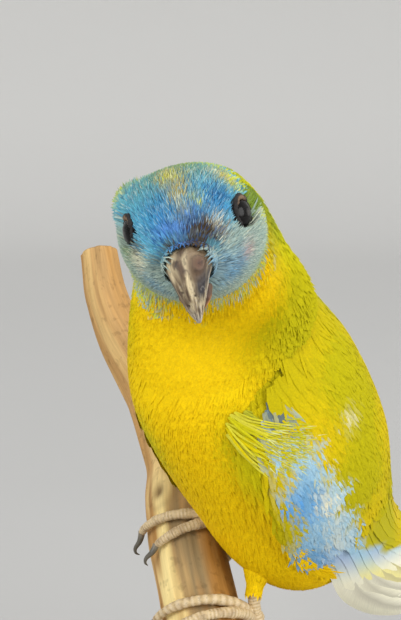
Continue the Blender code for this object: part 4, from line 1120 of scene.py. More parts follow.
def wing_vanes(side, draw):
    """Meshes of all large feathers of one wing, tier by tier."""
    meshes = []
    for tier, (count, shares, roots, tips, half_width, base, tilt) in WING_TIERS.items():
        part = np.linspace(0, 1, count)
        root, tip, share = (v[0] + (v[1] - v[0]) * part for v in (roots, tips, shares))
        tip = tip - (tip - root) * draw.uniform(0, 0.05, count)
        width = half_width * (1 + draw.uniform(-0.06, 0.06, count))
        wander = draw.normal(0, 1.0, count)

        def place(number, distance, across, way, lift):
            radius, low, high = wing_reach(distance, side)
            inset = np.degrees(across / radius)
            angle = (low - inset) + (high - low + 2 * inset) * share[number] - np.degrees(way / radius)
            if tier == "primary":
                angle = angle + PRIMARY_DROOP * soft_step(57, 86, distance) * (1 - share[number] * 2.2)
            angle = angle + wander[number] * soft_step(0.5, 1.0, (distance - 30) / 60)
            points = wing_at(distance, angle, base + tilt * (0.5 - way / (2 * across)) + lift, side)
            if tier == "primary":
                points[..., 2] -= PRIMARY_HANG * soft_step(61, 95, distance) * np.maximum(1 - share[number] * 2.4, 0)
            return points

        points, distances, ways = vane_grid(place, root, tip, width, draw)
        local = (points - NECK_CENTRE) @ BODY_AXES
        row = wing_row(local[..., 1])
        angle = np.degrees(np.arctan2(side * (local[..., 0] - row[..., 1]), local[..., 2] - row[..., 2]))
        salt = np.broadcast_to(draw.uniform(0, 1, (count, 1, 1)), angle.shape)
        colours = wing_colour(local[..., 1], angle, points, side, salt)
        off = np.abs(ways) / half_width
        if tier in ("primary", "secondary"):
            grey = soft_step(62, 78, distances) * soft_step(0.55, 0.15, off) * soft_step(85, 100, angle) * 0.35
            colours = blend_colours(colours, PRIMARY_GREY, grey)
        shaft = np.exp(-((off / 0.07) ** 2))
        colours = colours * (1 - 0.18 * shaft[..., None]) * (1 + 0.10 * (salt[..., None] - 0.5))
        colours = colours * (1 + 0.06 * soft_step(0.8, 1.0, off)[..., None])
        meshes.append(vanes_mesh(tier, points, distances, ways, colours))
    return meshes


def wing_arm(side):
    """The arm of a folded wing: a thin closed shell over the skin, hidden under the small coverts."""
    distance = np.linspace(WING_Y[0], ARM_END, ARM_ROWS)
    _, low, high = wing_reach(distance, side)
    across = np.linspace(0, 1, ARM_ACROSS)
    angle = low[:, None] + (high - low)[:, None] * across[None]
    full = np.interp(distance, (8, 14, 36, ARM_END), (0.3, 1.0, 0.9, 0.2))[:, None]
    swell = 1.2 * np.sin(math.pi * across) ** 0.5 * full
    over = wing_at(distance[:, None], angle, 0.1 + swell, side)
    under = wing_at(distance[:, None], angle, -0.4, side)
    return np.concatenate([over, under[:, ::-1]], 1)


def wing_patches(distance, angle):
    """Corner of each tuft's patch in the map: its root's place on the unrolled wing."""
    return np.stack([angle / 180 * 0.98, distance / 64 * 0.98], -1)


for side_name, side in (("left", 1), ("right", -1)):
    draw = np.random.default_rng(40 + side)
    arm = add_piece("wing_arm_" + side_name, closed_loft("arm", wing_arm(side)), skin_material)
    arm_points = points_of(arm.data)
    x, y, z = ((arm_points - NECK_CENTRE) @ BODY_AXES).T
    arm_tint = wing_colour(y, np.degrees(np.arctan2(side * x + 3.4, z + 2.0)), arm_points, side, 0.5)
    paint(arm.data, UNDER_SHADE * blend_colours(arm_tint, WING_YELLOW, soft_step(32.0, 24.0, y)))
    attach(arm, "root")
    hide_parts("wing_" + side_name)

    vanes = join_pieces("wing_feathers_" + side_name, wing_vanes(side, draw), vane_material)
    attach(vanes, "root")
    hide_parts("wing_" + side_name)

    def on_wing(distance, angle, lift):
        return wing_at(distance, angle, lift, side)

    # Small coverts: their tints are read at their tips
    distance, angle = scatter(*COVERT_FIELD, on_wing, draw)
    _, low, high = wing_reach(distance, side)
    keep = (angle < low + np.interp(distance, SHOULDER_RANGE, COVERT_END)) & (angle > high - WING_MARGIN)
    keep &= draw.uniform(*COVERTS_THIN, len(angle)) > distance
    distance, angle = distance[keep], angle[keep]
    salt = draw.uniform(0, 1, len(distance))
    lifts = tuple(np.interp(distance, COVERT_LIFTS[0], row) for row in COVERT_LIFTS[1:])
    tip = distance + 0.7 * COVERT_LENGTH
    tint = wing_colour(tip, angle, on_wing(tip, angle, 0.0), side, salt)
    meshes = feather_layers(
        on_wing, distance, angle, COVERT_LENGTH, lifts, BODY_LAYERS, tint, wing_patches(distance, angle), draw,
        painted_root_shade=0.06,
    )
    small = join_pieces("wing_coverts_" + side_name, meshes, coat_material)
    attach(small, "root")
    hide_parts("wing_" + side_name)

    # Flank feathers: they rise off the body over the wing's lower edge
    distance, angle = scatter(*FLANK_FIELD, on_wing, draw)
    _, low, high = wing_reach(distance, side)
    keep = (angle > low + np.interp(distance, SHOULDER_RANGE, FLANK_START)) & (angle < low + FLANK_WIDTH)
    distance, angle, low = distance[keep], angle[keep], low[keep]
    over = soft_step(FLANK_WIDTH, 0.0, angle - low) * soft_step(7.0, 17.0, distance)
    tint = body_colour(on_wing(distance, angle, 0.0), draw.uniform(0, 1, (len(distance), 4)))
    tint = blend_colours(tint, WING_YELLOW, 0.7 * soft_step(22.0, 12.0, distance))
    meshes = feather_layers(
        on_wing, distance, angle, FLANK_LENGTH, (-0.7 + 2.2 * over, 0.3 + 2.7 * over), FLANK_LAYERS, tint,
        wing_patches(distance, angle), draw, lean=FLANK_LEAN, vary=0.08, painted_root_shade=0.05,
    )
    if side > 0:
        distance, angle = scatter(*TUFT_FIELD, on_wing, draw)
        keep = near(distance, angle, TUFT_MIDDLE, TUFT_REACH) > np.exp(-draw.uniform(0.4, 1.1, len(angle)))
        distance, angle = distance[keep], angle[keep]
        tint = TUFT_COLOURS[draw.choice(len(TUFT_COLOURS), len(distance))]
        long = draw.uniform(*TUFT_LENGTHS, len(distance))
        meshes += feather_layers(
            on_wing, distance, angle, long, TUFT_LIFTS, TUFT_LAYERS, tint, wing_patches(distance, angle), draw,
            lean=TUFT_LEAN, vary=0.12, painted_root_shade=0.03,
        )
    flank = join_pieces("flank_feathers_" + side_name, meshes, coat_material)
    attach(flank, "root")
    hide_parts("torso")


# Tail: twelve long narrow feathers in steps, the middle pair on top and each next pair shorter and beneath, sunk in
# the root of the tail. Lengths run from the torso's end.
# Root and half width of a feather, its place beside the middle and its fan in degrees for the first pair and more for
# each next one, its drop beneath the pair before, and the slope of the roof that the feathers form
TAIL_LENGTHS = np.array((104.0, 101.0, 90.0, 78.0, 67.0, 57.0))
TAIL_FEATHER_ROOT = 8.0
TAIL_HALF_WIDTH = 4.4
TAIL_BESIDE = (0.8, 0.55)
TAIL_BENEATH = 0.36
TAIL_FAN = (0.5, 1.15)
TAIL_ROOF = 0.16
tail_root = SHAPE_ROWS[TORSO_END, :3]
tail_number = np.repeat(np.arange(6), 2)
tail_side = np.tile((1.0, -1.0), 6)


def tail_place(number, distance, across, way, lift):
    """World place on a tail feather: the pairs fan out a little more, lie further apart and lower one by one."""
    pair, side = tail_number[number], tail_side[number]
    fan = np.radians(side * (TAIL_FAN[0] + TAIL_FAN[1] * pair))
    beside = side * (TAIL_BESIDE[0] + TAIL_BESIDE[1] * pair)
    beneath = TAIL_BENEATH * (pair + np.where(side < 0, 0.5, 0.0))
    x = beside + np.sin(fan) * distance + np.cos(fan) * way
    y = np.cos(fan) * distance - np.sin(fan) * way
    z = lift - beneath - TAIL_ROOF * np.abs(x)
    return tail_root + np.stack([x, y, z], -1) @ TAIL_AXES.T


draw = np.random.default_rng(60)
tail_points, tail_distances, tail_ways = vane_grid(
    tail_place, np.full(12, TAIL_FEATHER_ROOT), TAIL_LENGTHS[tail_number] * (1 - draw.uniform(0, 0.02, 12)),
    TAIL_HALF_WIDTH * (1 + draw.uniform(-0.04, 0.04, 12)), draw,
)
pair_share = (tail_number / 5.0)[:, None, None]
off = np.abs(tail_ways) / TAIL_HALF_WIDTH
tail_tint = blend_colours(LEAF_YELLOW, PRIMARY_YELLOW, 0.4 + 0.6 * pair_share)
tail_tint = blend_colours(tail_tint, PRIMARY_WHITE, soft_step(0.1, 0.9, pair_share) * soft_step(20, 60, tail_distances))
tail_tint = blend_colours(tail_tint, PRIMARY_GREY, 0.55 * soft_step(0.6, 0.1, off) * pair_share)
tail_tint = tail_tint * (1 - 0.25 * np.exp(-((off / 0.07) ** 2))[..., None])
tail = add_piece("tail_feathers", vanes_mesh("tail", tail_points, tail_distances, tail_ways, tail_tint), vane_material)
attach(tail, "root")
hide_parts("tail")


# Eyes: dark glass-like balls that have sunk a little, each in a dry wrinkled lid, with a pale grey spot in the middle
# that is partly clouding and partly a painted highlight. They look sideways and slightly forwards, as a parrot's do.
# Eyeball: radius, share of it that the dent takes, points along and round. Lid: half width, half height, thickness,
# place along the line out of the eye, points round the eye and round the rim.
EYE_RADIUS = 2.9
EYE_DENT = 0.05
EYE_RINGS, EYE_SIDES = 40, 56
LID_WIDE, LID_HIGH = 2.15, 2.75
LID_THICKNESS = 0.34
LID_LIFT = 1.75
LID_RINGS, LID_SIDES = 96, 16
EYE_BLACK = srgb(8, 7, 7)
# Pale grey of the spot in the middle of each eye: partly clouding, partly a painted highlight
EYE_CLOUD_AND_HIGHLIGHT = srgb(86, 84, 82)
LID_DARK = srgb(24, 21, 20)
LID_DRY = srgb(134, 108, 84)
GRAIN_VALUES = ("Size", "Stretch", "Streak", "Fleck", "Fleck Size", "Smooth", "Rough")


def grain_effects():
    """Node group for hard pieces: the painted tint, grained along the piece, with flecks, and the grain's height.

    It reads the attribute grain, whose third number runs along the piece, in millimetres.
    """
    group, given = open_effects("grain", GRAIN_VALUES)
    grain = add_node(group, "Attribute", attribute_name="grain").outputs["Vector"]
    way = add_node(group, "SeparateXYZ", {"Vector": grain}).outputs
    stretched = add_node(group, "CombineXYZ", {
        "X": way["X"], "Y": way["Y"], "Z": calculate(group, "DIVIDE", way["Z"], given["Stretch"]),
    }).outputs["Vector"]
    noise = add_node(group, "TexNoise", {
        "Vector": stretched, "Scale": given["Size"], "Detail": 5.0, "Roughness": 0.6,
    }).outputs["Fac"]
    spots = add_node(group, "TexNoise", {"Vector": grain, "Scale": given["Fleck Size"], "Detail": 2.0}).outputs["Fac"]
    fleck = add_node(
        group, "MapRange", {"Value": spots, "From Min": 0.56, "From Max": 0.70}, interpolation_type="SMOOTHSTEP",
    ).outputs["Result"]
    dark = calculate(group, "MULTIPLY", fleck, given["Fleck"])
    light = calculate(group, "MULTIPLY_ADD", calculate(group, "SUBTRACT", noise, 0.5), given["Streak"], 1.0)
    light = calculate(group, "MAXIMUM", calculate(group, "SUBTRACT", light, dark), 0.03)
    height = calculate(group, "SUBTRACT", noise, dark)
    return close_effects(group, light, noise, height, given["Smooth"], given["Rough"])


GRAIN_EFFECTS = grain_effects()


def grain_material(name, values, bump, bump_distance, **sockets):
    """A material of the grain group, with its values in their order."""
    return effect_material(name, GRAIN_EFFECTS, dict(zip(GRAIN_VALUES, values)), 0.5, bump, bump_distance, **sockets)


def mark_grain(mesh, coordinates):
    """Stores the grain's coordinates, one triple in millimetres for each point."""
    layer = mesh.attributes.new("grain", "FLOAT_VECTOR", "POINT")
    layer.data.foreach_set("vector", np.asarray(coordinates, np.float32).reshape(-1, 3).ravel())


def loft_values(values):
    """Values of a loft's rings with those of its two end middles added."""
    flat = values.reshape(-1, values.shape[-1])
    return np.vstack([flat, values[0].mean(0), values[-1].mean(0)])


def length_so_far(points):
    """Length along a path of points up to each of them."""
    return np.concatenate([[0], np.cumsum(np.linalg.norm(np.diff(points, axis=0), axis=1))])


def round_grain(radius, lengths, sides):
    """Grain coordinates of rings: the way round as cosine and sine times the radius, and the length so far."""
    angle = np.linspace(0, 2 * math.pi, sides, endpoint=False)
    circle = np.broadcast_to(radius * np.stack([np.cos(angle), np.sin(angle)], -1), (len(lengths), sides, 2))
    return np.concatenate([circle, np.broadcast_to(lengths[:, None, None], (len(lengths), sides, 1))], -1)


def ring_grain(rings):
    """Grain coordinates of rings, with the largest ring's radius."""
    middles = rings.mean(1)
    radii = np.linalg.norm(rings - middles[:, None], axis=2).mean(1)
    return round_grain(radii.max(), length_so_far(middles), rings.shape[1])


def lofted_mesh(name, rings, colours, grain):
    """A closed mesh through rings with a colour and grain coordinates for each of their points."""
    mesh = closed_loft(name, rings)
    paint(mesh, loft_values(colours))
    mark_grain(mesh, loft_values(grain))
    return mesh


eye_material = grain_material(
    "dried_eye", (1.4, 1.0, 0.9, 0.25, 0.8, 0.12, 0.30), 0.12, 0.12, Specular_IOR_Level=0.18
)
lid_material = grain_material("dry_lid", (3.0, 1.0, 0.8, 0.4, 1.2, 0.6, 0.9), 0.6, 0.2)
for side_name, side in (("left", 1), ("right", -1)):
    mirror = np.array((side, 1, 1))
    centre = from_head(EYE_CENTRE * mirror)
    out = HEAD_AXES @ (EYE_OUTWARD * mirror)
    up = unit(HEAD_AXES[:, 2] - out * (HEAD_AXES[:, 2] @ out))
    across = np.cross(up, out)

    polar = np.linspace(0.02, math.pi - 0.02, EYE_RINGS)[:, None]
    angle = np.linspace(0, 2 * math.pi, EYE_SIDES, endpoint=False)[None, :]
    spokes = np.cos(angle)[..., None] * across + np.sin(angle)[..., None] * up
    ways = np.cos(polar)[..., None] * out + np.sin(polar)[..., None] * spokes
    dent = EYE_DENT * np.exp(-((polar / 0.55) ** 2)) + 0.006 * ripple(ways * 10 + side, 5.0, 70)
    eye_rings = centre + EYE_RADIUS * (1 - dent)[..., None] * ways
    # Painted highlight: a pale grey spot in the middle of the eye, which is also its clouding
    cloud_and_highlight = np.exp(-((polar / 0.2) ** 4)) + 0 * angle
    eye_mesh = lofted_mesh("eyeball", eye_rings, blend_colours(EYE_BLACK, EYE_CLOUD_AND_HIGHLIGHT, 0.6 * cloud_and_highlight), eye_rings - centre)
    ball = add_piece("eyeball_" + side_name, eye_mesh, eye_material)
    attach(ball, "root")
    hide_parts("eye_" + side_name)

    around_eye = np.linspace(0, 2 * math.pi, LID_RINGS, endpoint=False)[:, None]
    around_rim = np.linspace(0, 2 * math.pi, LID_SIDES, endpoint=False)[None, :]
    spoke = np.cos(around_eye)[..., None] * across * LID_WIDE + np.sin(around_eye)[..., None] * up * LID_HIGH
    wrinkles = 1 + 0.16 * np.sin(23 * around_eye + 2 * np.sin(around_rim)) + 0.16 * np.sin(9 * around_eye + 1.3)
    thick = LID_THICKNESS * wrinkles * (1 + 0.35 * soft_step(0.3, 0.9, np.sin(around_eye)))
    rim = np.cos(around_rim)[..., None] * unit(spoke) + np.sin(around_rim)[..., None] * out
    lid_points = centre + out * LID_LIFT + spoke + thick[..., None] * rim
    lid_mesh = new_mesh("lid", lid_points, grid_faces(LID_RINGS, LID_SIDES, ring_rows=True))
    dry = np.clip(soft_step(0.55, 0.95, np.sin(around_eye)) + 0.5 * soft_step(0.9, 1.0, -np.sin(around_eye)), 0, 1)
    dry = dry * soft_step(-0.4, 0.5, np.cos(around_rim) * -1.0 + 0.3)
    paint(lid_mesh, blend_colours(LID_DARK, LID_DRY, dry).reshape(-1, 3))
    mark_grain(lid_mesh, lid_points - centre)
    face_outwards(lid_mesh)
    lid = add_piece("eyelid_" + side_name, lid_mesh, lid_material)
    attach(lid, "root")
    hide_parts("head")


# Bill: dry, cracked and flaking horn. The upper half hooks down over the lower one, with the round swelling of the
# cere over its nostril, and pinholes, cracks and pale layers towards the tip.
# Sections: forward and height in the head's frame, pitch in degrees, half width, height and depth
UPPER_BILL = np.array((
    (-11.6, -3.7, 0, 3.9, 2.7, 2.4),
    (-13.5, -4.3, 25, 3.7, 2.8, 2.3),
    (-14.8, -5.5, 52, 3.1, 2.5, 1.9),
    (-15.4, -7.3, 74, 2.45, 2.0, 1.4),
    (-15.5, -9.4, 88, 1.75, 1.4, 1.0),
    (-15.2, -11.5, 98, 1.0, 0.8, 0.6),
    (-14.9, -12.9, 102, 0.35, 0.3, 0.3),
))
LOWER_BILL = np.array((
    (-11.9, -8.0, 50, 2.9, 1.2, 1.1),
    (-12.9, -9.5, 60, 2.6, 1.1, 1.0),
    (-13.2, -10.4, 68, 2.0, 0.9, 0.8),
    (-13.4, -11.3, 74, 1.2, 0.6, 0.5),
))
UPPER_GRID, LOWER_GRID = (120, 96), (50, 64)
HORN_CREAM = srgb(214, 196, 158)
HORN_TAN = srgb(112, 92, 68)
HORN_BROWN = srgb(74, 56, 42)
HORN_GREY = srgb(48, 46, 50)
HORN_PALE = srgb(206, 198, 188)
HORN_RED = srgb(88, 58, 42)
HORN_AMBER = srgb(206, 140, 80)
HOLE_BLACK = srgb(34, 28, 26)
# Marks on the upper half: colour, share of its length and angle from the ridge, reach in each, strength
BILL_MARKS = (
    (HORN_TAN, 0.10, 0, 0.10, 70, 0.9), (HORN_BROWN, 0.08, -10, 0.07, 16, 0.9), (HORN_GREY, 0.42, 50, 0.19, 25, 1.4),
    (HORN_GREY, 0.30, 78, 0.16, 14, 1.0), (HORN_BROWN, 0.42, -76, 0.24, 18, 1.4), (HORN_BROWN, 0.27, -22, 0.14, 8, 1.0),
    (HORN_TAN, 0.62, -50, 0.14, 24, 0.9), (HORN_BROWN, 0.66, -36, 0.10, 10, 0.7), (HORN_GREY, 0.76, -20, 0.07, 14, 0.5),
    (HORN_CREAM, 0.40, 2, 0.24, 7, 1.2), (HORN_CREAM, 0.22, -48, 0.12, 20, 0.9), (HORN_PALE, 0.52, 96, 0.30, 10, 0.9),
    (HORN_PALE, 0.92, 10, 0.12, 120, 0.7), (HORN_TAN, 0.25, 33, 0.13, 26, 0.9), (HORN_RED, 0.25, 33, 0.09, 18, 1.0),
)
NOSTRIL_MARK, NOSTRIL_REACH = (0.25, 33.0), (0.10, 22.0)
PINHOLES = ((0.50, -36.0), (0.55, 20.0), (0.66, -30.0))

bill_material = grain_material("flaking_horn", (1.6, 4.0, 1.0, 0.45, 1.1, 0.42, 0.75), 0.55, 0.12)


def bill_rings(rows, ring_count, sides):
    """Rings of half a bill, and each point's share of the length and angle from the ridge, left positive.

    x is half width times the sine, sharpened towards the ridge, and z the height or depth times the cosine.
    """
    at = np.linspace(0, len(rows) - 1, ring_count)
    row = through(rows, at)
    angle = np.linspace(-180, 180, sides, endpoint=False)
    sine, cosine = np.sin(np.radians(angle)), np.cos(np.radians(angle))
    x = row[:, 3:4] * (np.sign(sine) * np.abs(sine) ** 1.18)
    z = np.where(cosine > 0, row[:, 4:5], row[:, 5:6]) * cosine
    axes = HEAD_AXES @ turn(np.stack([0 * at, row[:, 2], 0 * at], -1))
    centre = from_head(np.stack([0 * at, row[:, 0], row[:, 1]], -1))
    local = np.stack([x, np.zeros_like(x), z], -1)
    points = centre[:, None] + np.einsum("nij,nkj->nki", axes, local)
    normal = np.einsum("nij,nkj->nki", axes, unit(local))
    share = np.broadcast_to((at / at[-1])[:, None], x.shape)
    return points, normal, share, np.broadcast_to(angle, x.shape)


points, normal, share, angle = bill_rings(UPPER_BILL, *UPPER_GRID)
bill_grain = ring_grain(points)
along_grain = bill_grain * np.array((1.0, 1.0, 0.3))
layers = np.floor(2.2 * (ripple(along_grain, 2.6, 80) + 1.5 * share)) / 2.2
relief = 0.06 * ripple(along_grain, 1.1, 81) + 0.07 * (layers - 1.5 * share) * soft_step(0.35, 0.8, share)
rings_round = away_from(share, angle, NOSTRIL_MARK, NOSTRIL_REACH)
relief = relief + 0.55 * np.exp(-(rings_round**4)) + 0.08 * np.cos(rings_round * 9) * np.exp(-(rings_round / 2) ** 2)
relief = relief - 0.30 * near(share, angle, NOSTRIL_MARK, (0.018, 4))
relief = relief + 0.4 * near(share, angle, (NOSTRIL_MARK[0], -NOSTRIL_MARK[1]), (0.07, 14))
for hole in PINHOLES:
    relief = relief - 0.35 * near(share, angle, hole, (0.014, 4.5))
relief = relief * soft_step(1.0, 0.93, share)
points = points + normal * relief[..., None]
worn = np.clip(0.4 + 0.8 * ripple(along_grain, 1.0, 82), 0, 1)
colours = blend_colours(HORN_CREAM, HORN_TAN, worn)
colours = add_marks(colours, share, angle + 4 * ripple(along_grain, 2.0, 83), BILL_MARKS, 1.0)
for hole in PINHOLES:
    colours = blend_colours(colours, HOLE_BLACK, 0.9 * near(share, angle, hole, (0.014, 5.0)))
cracks = soft_step(0.12, 0.0, np.abs(ripple(along_grain, 1.7, 84))) * soft_step(0.3, 0.6, share)
colours = blend_colours(colours, HORN_PALE, 0.5 * cracks)
splits = soft_step(0.13, 0.0, np.abs(ripple(along_grain + 5, 1.9, 85)))
colours = blend_colours(colours, HORN_BROWN, 0.65 * splits)
specks = soft_step(0.5, 1.1, ripple(along_grain, 0.7, 87)) * soft_step(20, -20, angle)
colours = blend_colours(colours, HORN_BROWN, 0.85 * specks)
layer_lines = soft_step(0.3, 0.9, np.cos(rings_round * 9)) * soft_step(1.5, 0.8, rings_round)
colours = blend_colours(colours, HORN_BROWN, 0.5 * layer_lines)
upper = add_piece("bill_upper", lofted_mesh("bill_upper", points, colours, bill_grain), bill_material)
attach(upper, "root")
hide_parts("beak_upper")

points, normal, share, angle = bill_rings(LOWER_BILL, *LOWER_GRID)
bill_grain = ring_grain(points)
points = points + normal * (0.05 * ripple(bill_grain, 1.0, 86))[..., None]
colours = blend_colours(HORN_RED, HORN_TAN, soft_step(50, 110, np.abs(angle)))
amber = np.exp(-(((np.abs(angle) - 84) / 16) ** 2)) * soft_step(0.2, 0.6, share)
colours = blend_colours(colours, HORN_AMBER, amber)
lower = add_piece("bill_lower", lofted_mesh("bill_lower", points, colours, bill_grain), bill_material)
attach(lower, "root")
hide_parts("beak_lower")


def bill_at(u, v, lift):
    """World place on the upper half: u in sections along it, v degrees off the ridge, lift off the horn.

    Before the first section it goes on backwards into the head, along the line of the first two sections.
    """
    u, v, lift = np.broadcast_arrays(np.asarray(u, float), np.radians(v), lift)
    row = through(UPPER_BILL, u) + np.minimum(u, 0.0)[..., None] * (UPPER_BILL[1] - UPPER_BILL[0])
    local = np.stack([(row[..., 3] + lift) * np.sin(v), np.zeros_like(v), (row[..., 4] + lift) * np.cos(v)], -1)
    local = (turn(np.stack([0 * u, row[..., 2], 0 * u], -1)) @ local[..., None])[..., 0]
    return from_head(local + np.stack([0 * u, row[..., 0], row[..., 1]], -1))


# Bristles round the bill: their field and layer
BRISTLE_FIELD = ((-0.9, -0.1), (-130.0, 130.0), 0.36)
BRISTLE_LAYERS = ((BARB, 4, 0.22, 70, 0.08, 0.0),)
draw = np.random.default_rng(88)
u, v = scatter(*BRISTLE_FIELD, bill_at, draw)
bristle_tint = face_colour(0.8 + 0 * u, v, draw.uniform(0, 1, (len(u), 4)))
worn = draw.uniform(0, 1, len(u)) < 0.4 * soft_step(75, 45, np.abs(v))
bristle_tint = np.where(worn[:, None], WORN_BROWN, bristle_tint)
bristle_length = (1.7 + 1.0 * soft_step(60, 85, np.abs(v))) * draw.uniform(0.9, 1.6, len(u))
bristle_meshes = feather_layers(
    bill_at, u, v, bristle_length, (0.5, 0.45), BRISTLE_LAYERS, bristle_tint,
    np.stack([(v + 135) / 270 * 0.98, u + 0.95], -1), draw, vary=0.5,
)
bristles = join_pieces("bill_bristles", bristle_meshes, coat_material)
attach(bristles, "root")
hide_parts("head")


# Perch: a bare, dry branch with long grain, a dark knot and a sawn top, standing on the rod by its flat sawn foot.
# Centre and radius from the lower end to the upper end
BRANCH_SECTIONS = np.array((
    (4.4, -30.0, 35.0, 9.2), (2.8, -21.0, 44.5, 8.9), (1.5, -11.4, 53.7, 8.7), (-0.1, -3.1, 60.1, 8.5),
    (-2.2, 4.3, 67.4, 8.4), (-3.4, 10.1, 71.8, 8.3), (-3.8, 16.5, 76.6, 8.5), (-4.6, 26.2, 82.1, 8.1),
    (-10.0, 35.5, 94.6, 7.2), (-18.6, 44.8, 106.6, 6.2), (-23.4, 51.5, 116.6, 5.6), (-25.8, 58.0, 127.0, 4.9),
))
BRANCH_RINGS, BRANCH_SIDES = 190, 72
BRANCH_FOOT = 44.0
# Knot: place in sections and degrees, and its reach in both
KNOT, KNOT_REACH = (5.75, 128.0), (0.5, 26.0)
WOOD_TAN = srgb(188, 148, 96)
WOOD_CREAM = srgb(250, 228, 160)
WOOD_ORANGE = srgb(170, 122, 58)
WOOD_GREY = srgb(142, 126, 94)
WOOD_DARK = srgb(92, 64, 36)
# Broad stripes along the branch: colour, angle round it from the bird's left, reach, strength. The cream one at 130
# degrees, which faces the large light on the left, is a painted highlight on the pale wood, and the grey one at 96
# degrees is painted shade; the others are the wood's own colours.
WOOD_STRIPES_AND_PAINTED_LIGHT = (
    (WOOD_CREAM, 130, 17, 0.95), (WOOD_GREY, 96, 15, 0.85), (WOOD_ORANGE, 50, 26, 0.9), (WOOD_ORANGE, 168, 12, 0.5),
    (WOOD_CREAM, 205, 20, 0.4), (WOOD_ORANGE, 10, 24, 0.5), (WOOD_GREY, 250, 20, 0.5), (WOOD_CREAM, 300, 20, 0.6),
)
GRAIN_RADIUS = 8.0
wood_material = grain_material(
    "bare_branch", (0.9, 14.0, 0.9, 0.2, 0.5, 0.8, 0.95), 0.5, 0.25, Specular_IOR_Level=0.12
)


def square_to(forward):
    """Two unit vectors square to each unit vector and to each other, the first as near to the world's X as can be."""
    side = unit(np.array((1.0, 0.0, 0.0)) - forward * forward[..., :1])
    return side, np.cross(side, forward)


def cut_foot(work):
    """Cuts the branch off flat at its foot and closes the hole."""
    bmesh.ops.bisect_plane(
        work, geom=work.verts[:] + work.edges[:] + work.faces[:], plane_co=(0, 0, BRANCH_FOOT * MM),
        plane_no=(0, 0, 1), clear_inner=True,
    )
    bmesh.ops.holes_fill(work, edges=[edge for edge in work.edges if len(edge.link_faces) == 1])
    bmesh.ops.triangulate(work, faces=[face for face in work.faces if len(face.verts) > 4])


at = np.linspace(0, len(BRANCH_SECTIONS) - 1, BRANCH_RINGS)
row = through(BRANCH_SECTIONS, at)
along = unit(np.gradient(row[:, :3], axis=0))
sideways, outside = square_to(along)
angle = np.linspace(0, 360, BRANCH_SIDES, endpoint=False)
turned = np.radians(angle)[None, :, None]
spokes = np.cos(turned) * sideways[:, None] + np.sin(turned) * outside[:, None]
branch_grain = round_grain(GRAIN_RADIUS, length_so_far(row[:, :3]), BRANCH_SIDES)
stretched = branch_grain * np.array((1.0, 1.0, 0.12))
relief = 0.16 * ripple(stretched, 2.2, 90) + 0.22 * ripple(stretched, 7.0, 91) - 0.2
knot_away = away_from(at[:, None] - KNOT[0], half_turn(angle[None, :] - KNOT[1]), (0.0, 0.0), KNOT_REACH)
relief = relief + 0.7 * np.exp(-(knot_away**2)) - 0.9 * np.exp(-((knot_away / 0.35) ** 2))
branch_points = row[:, None, :3] + (row[:, None, 3:4] + relief[..., None]) * spokes
wander = 8.0 * ripple(stretched, 3.0, 92)
lower_part = soft_step(7.5, 4.5, at)[:, None]
colours = np.broadcast_to(WOOD_TAN, branch_points.shape)
# The stripes, stronger low on the branch: the cream one at 130 degrees is a painted highlight and the grey one at 96
# degrees painted shade
for colour, middle, reach, strength in WOOD_STRIPES_AND_PAINTED_LIGHT:
    stripe_and_light = np.exp(-((half_turn(angle[None, :] + wander - middle) / reach) ** 4))
    colours = blend_colours(colours, colour, strength * stripe_and_light * (0.25 + 0.75 * lower_part))
colours = blend_colours(colours, WOOD_ORANGE, 0.35 * soft_step(0.2, 1.4, ripple(stretched, 4.0, 93)))
knot_dark = 0.9 * np.exp(-((knot_away / 0.42) ** 2)) + 0.25 * np.exp(-((knot_away - 0.9) / 0.2) ** 2)
colours = blend_colours(colours, WOOD_DARK, knot_dark)
# The sawn top: the last ring drawn in four steps to the middle, a little above it
top = branch_points[-1]
for share in (0.93, 0.7, 0.4, 0.1):
    ring = top.mean(0) + (top - top.mean(0)) * share + along[-1] * 0.35
    branch_points = np.concatenate([branch_points, ring[None]])
    end_colour = blend_colours(np.broadcast_to(WOOD_TAN, ring.shape), WOOD_GREY, 0.3 + 0.4 * share)
    colours = np.concatenate([colours, end_colour[None]])
    branch_grain = np.concatenate([branch_grain, (branch_grain[-1] * np.array((share, share, 1.0)))[None]])
branch_mesh = lofted_mesh("perch", branch_points, colours, branch_grain)
face_outwards(branch_mesh, cut_foot)
perch = add_piece("perch", branch_mesh, wood_material)
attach(perch, "root")
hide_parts("perch_branch")


# Feet: bare scaly shanks out of the feathered thighs, pads on the bark, two toes forwards and two back on each foot,
# and a dark hooked claw on each toe.
# Place of each foot's pad: sections along the branch and angle round it
GRIPS = {"right": (4.55, 46.0), "left": (2.55, 12.0)}
# Angle at which each toe ends, its slide along the branch there, and the length of its claw
TOES = ((168.0, 2.6, 6.0), (136.0, -2.6, 4.6), (-96.0, 2.2, 5.0), (-70.0, -2.8, 4.2))
# Rings and sides of shank, toes and claws, and rings of the pad
SHANK_GRID, TOE_GRID, CLAW_GRID, PAD_RINGS = (60, 28), (64, 24), (40, 20), 24
# How far the shank starts inside the thigh, its radius and the pad's, how far the toes lie into the bark's gap, and
# their radius at the pad and at the claw
SHANK_SUNK = 3.0
SHANK_RADIUS = 1.25
PAD_RADIUS = 1.9
TOE_LIFT = 0.5
TOE_RADIUS, TOE_TIP_RADIUS = 1.15, 0.8
# Claw: share of its length, height off the bark and radius
CLAW_HOOK = np.array((
    (-0.08, 0.75, 0.74), (0.12, 0.8, 0.70), (0.40, 1.2, 0.58), (0.68, 2.2, 0.42), (0.88, 2.2, 0.27), (1.0, 1.5, 0.08),
))
FOOT_GAP = 0.3
SCUTE_LENGTH, PAD_SCUTE = 0.62, 0.7
FOOT_TAN = srgb(198, 172, 124)
FOOT_CREAM = srgb(226, 208, 176)
FOOT_BROWN = srgb(128, 98, 70)
CLAW_DARK = srgb(88, 84, 74)
CLAW_PALE = srgb(150, 138, 118)


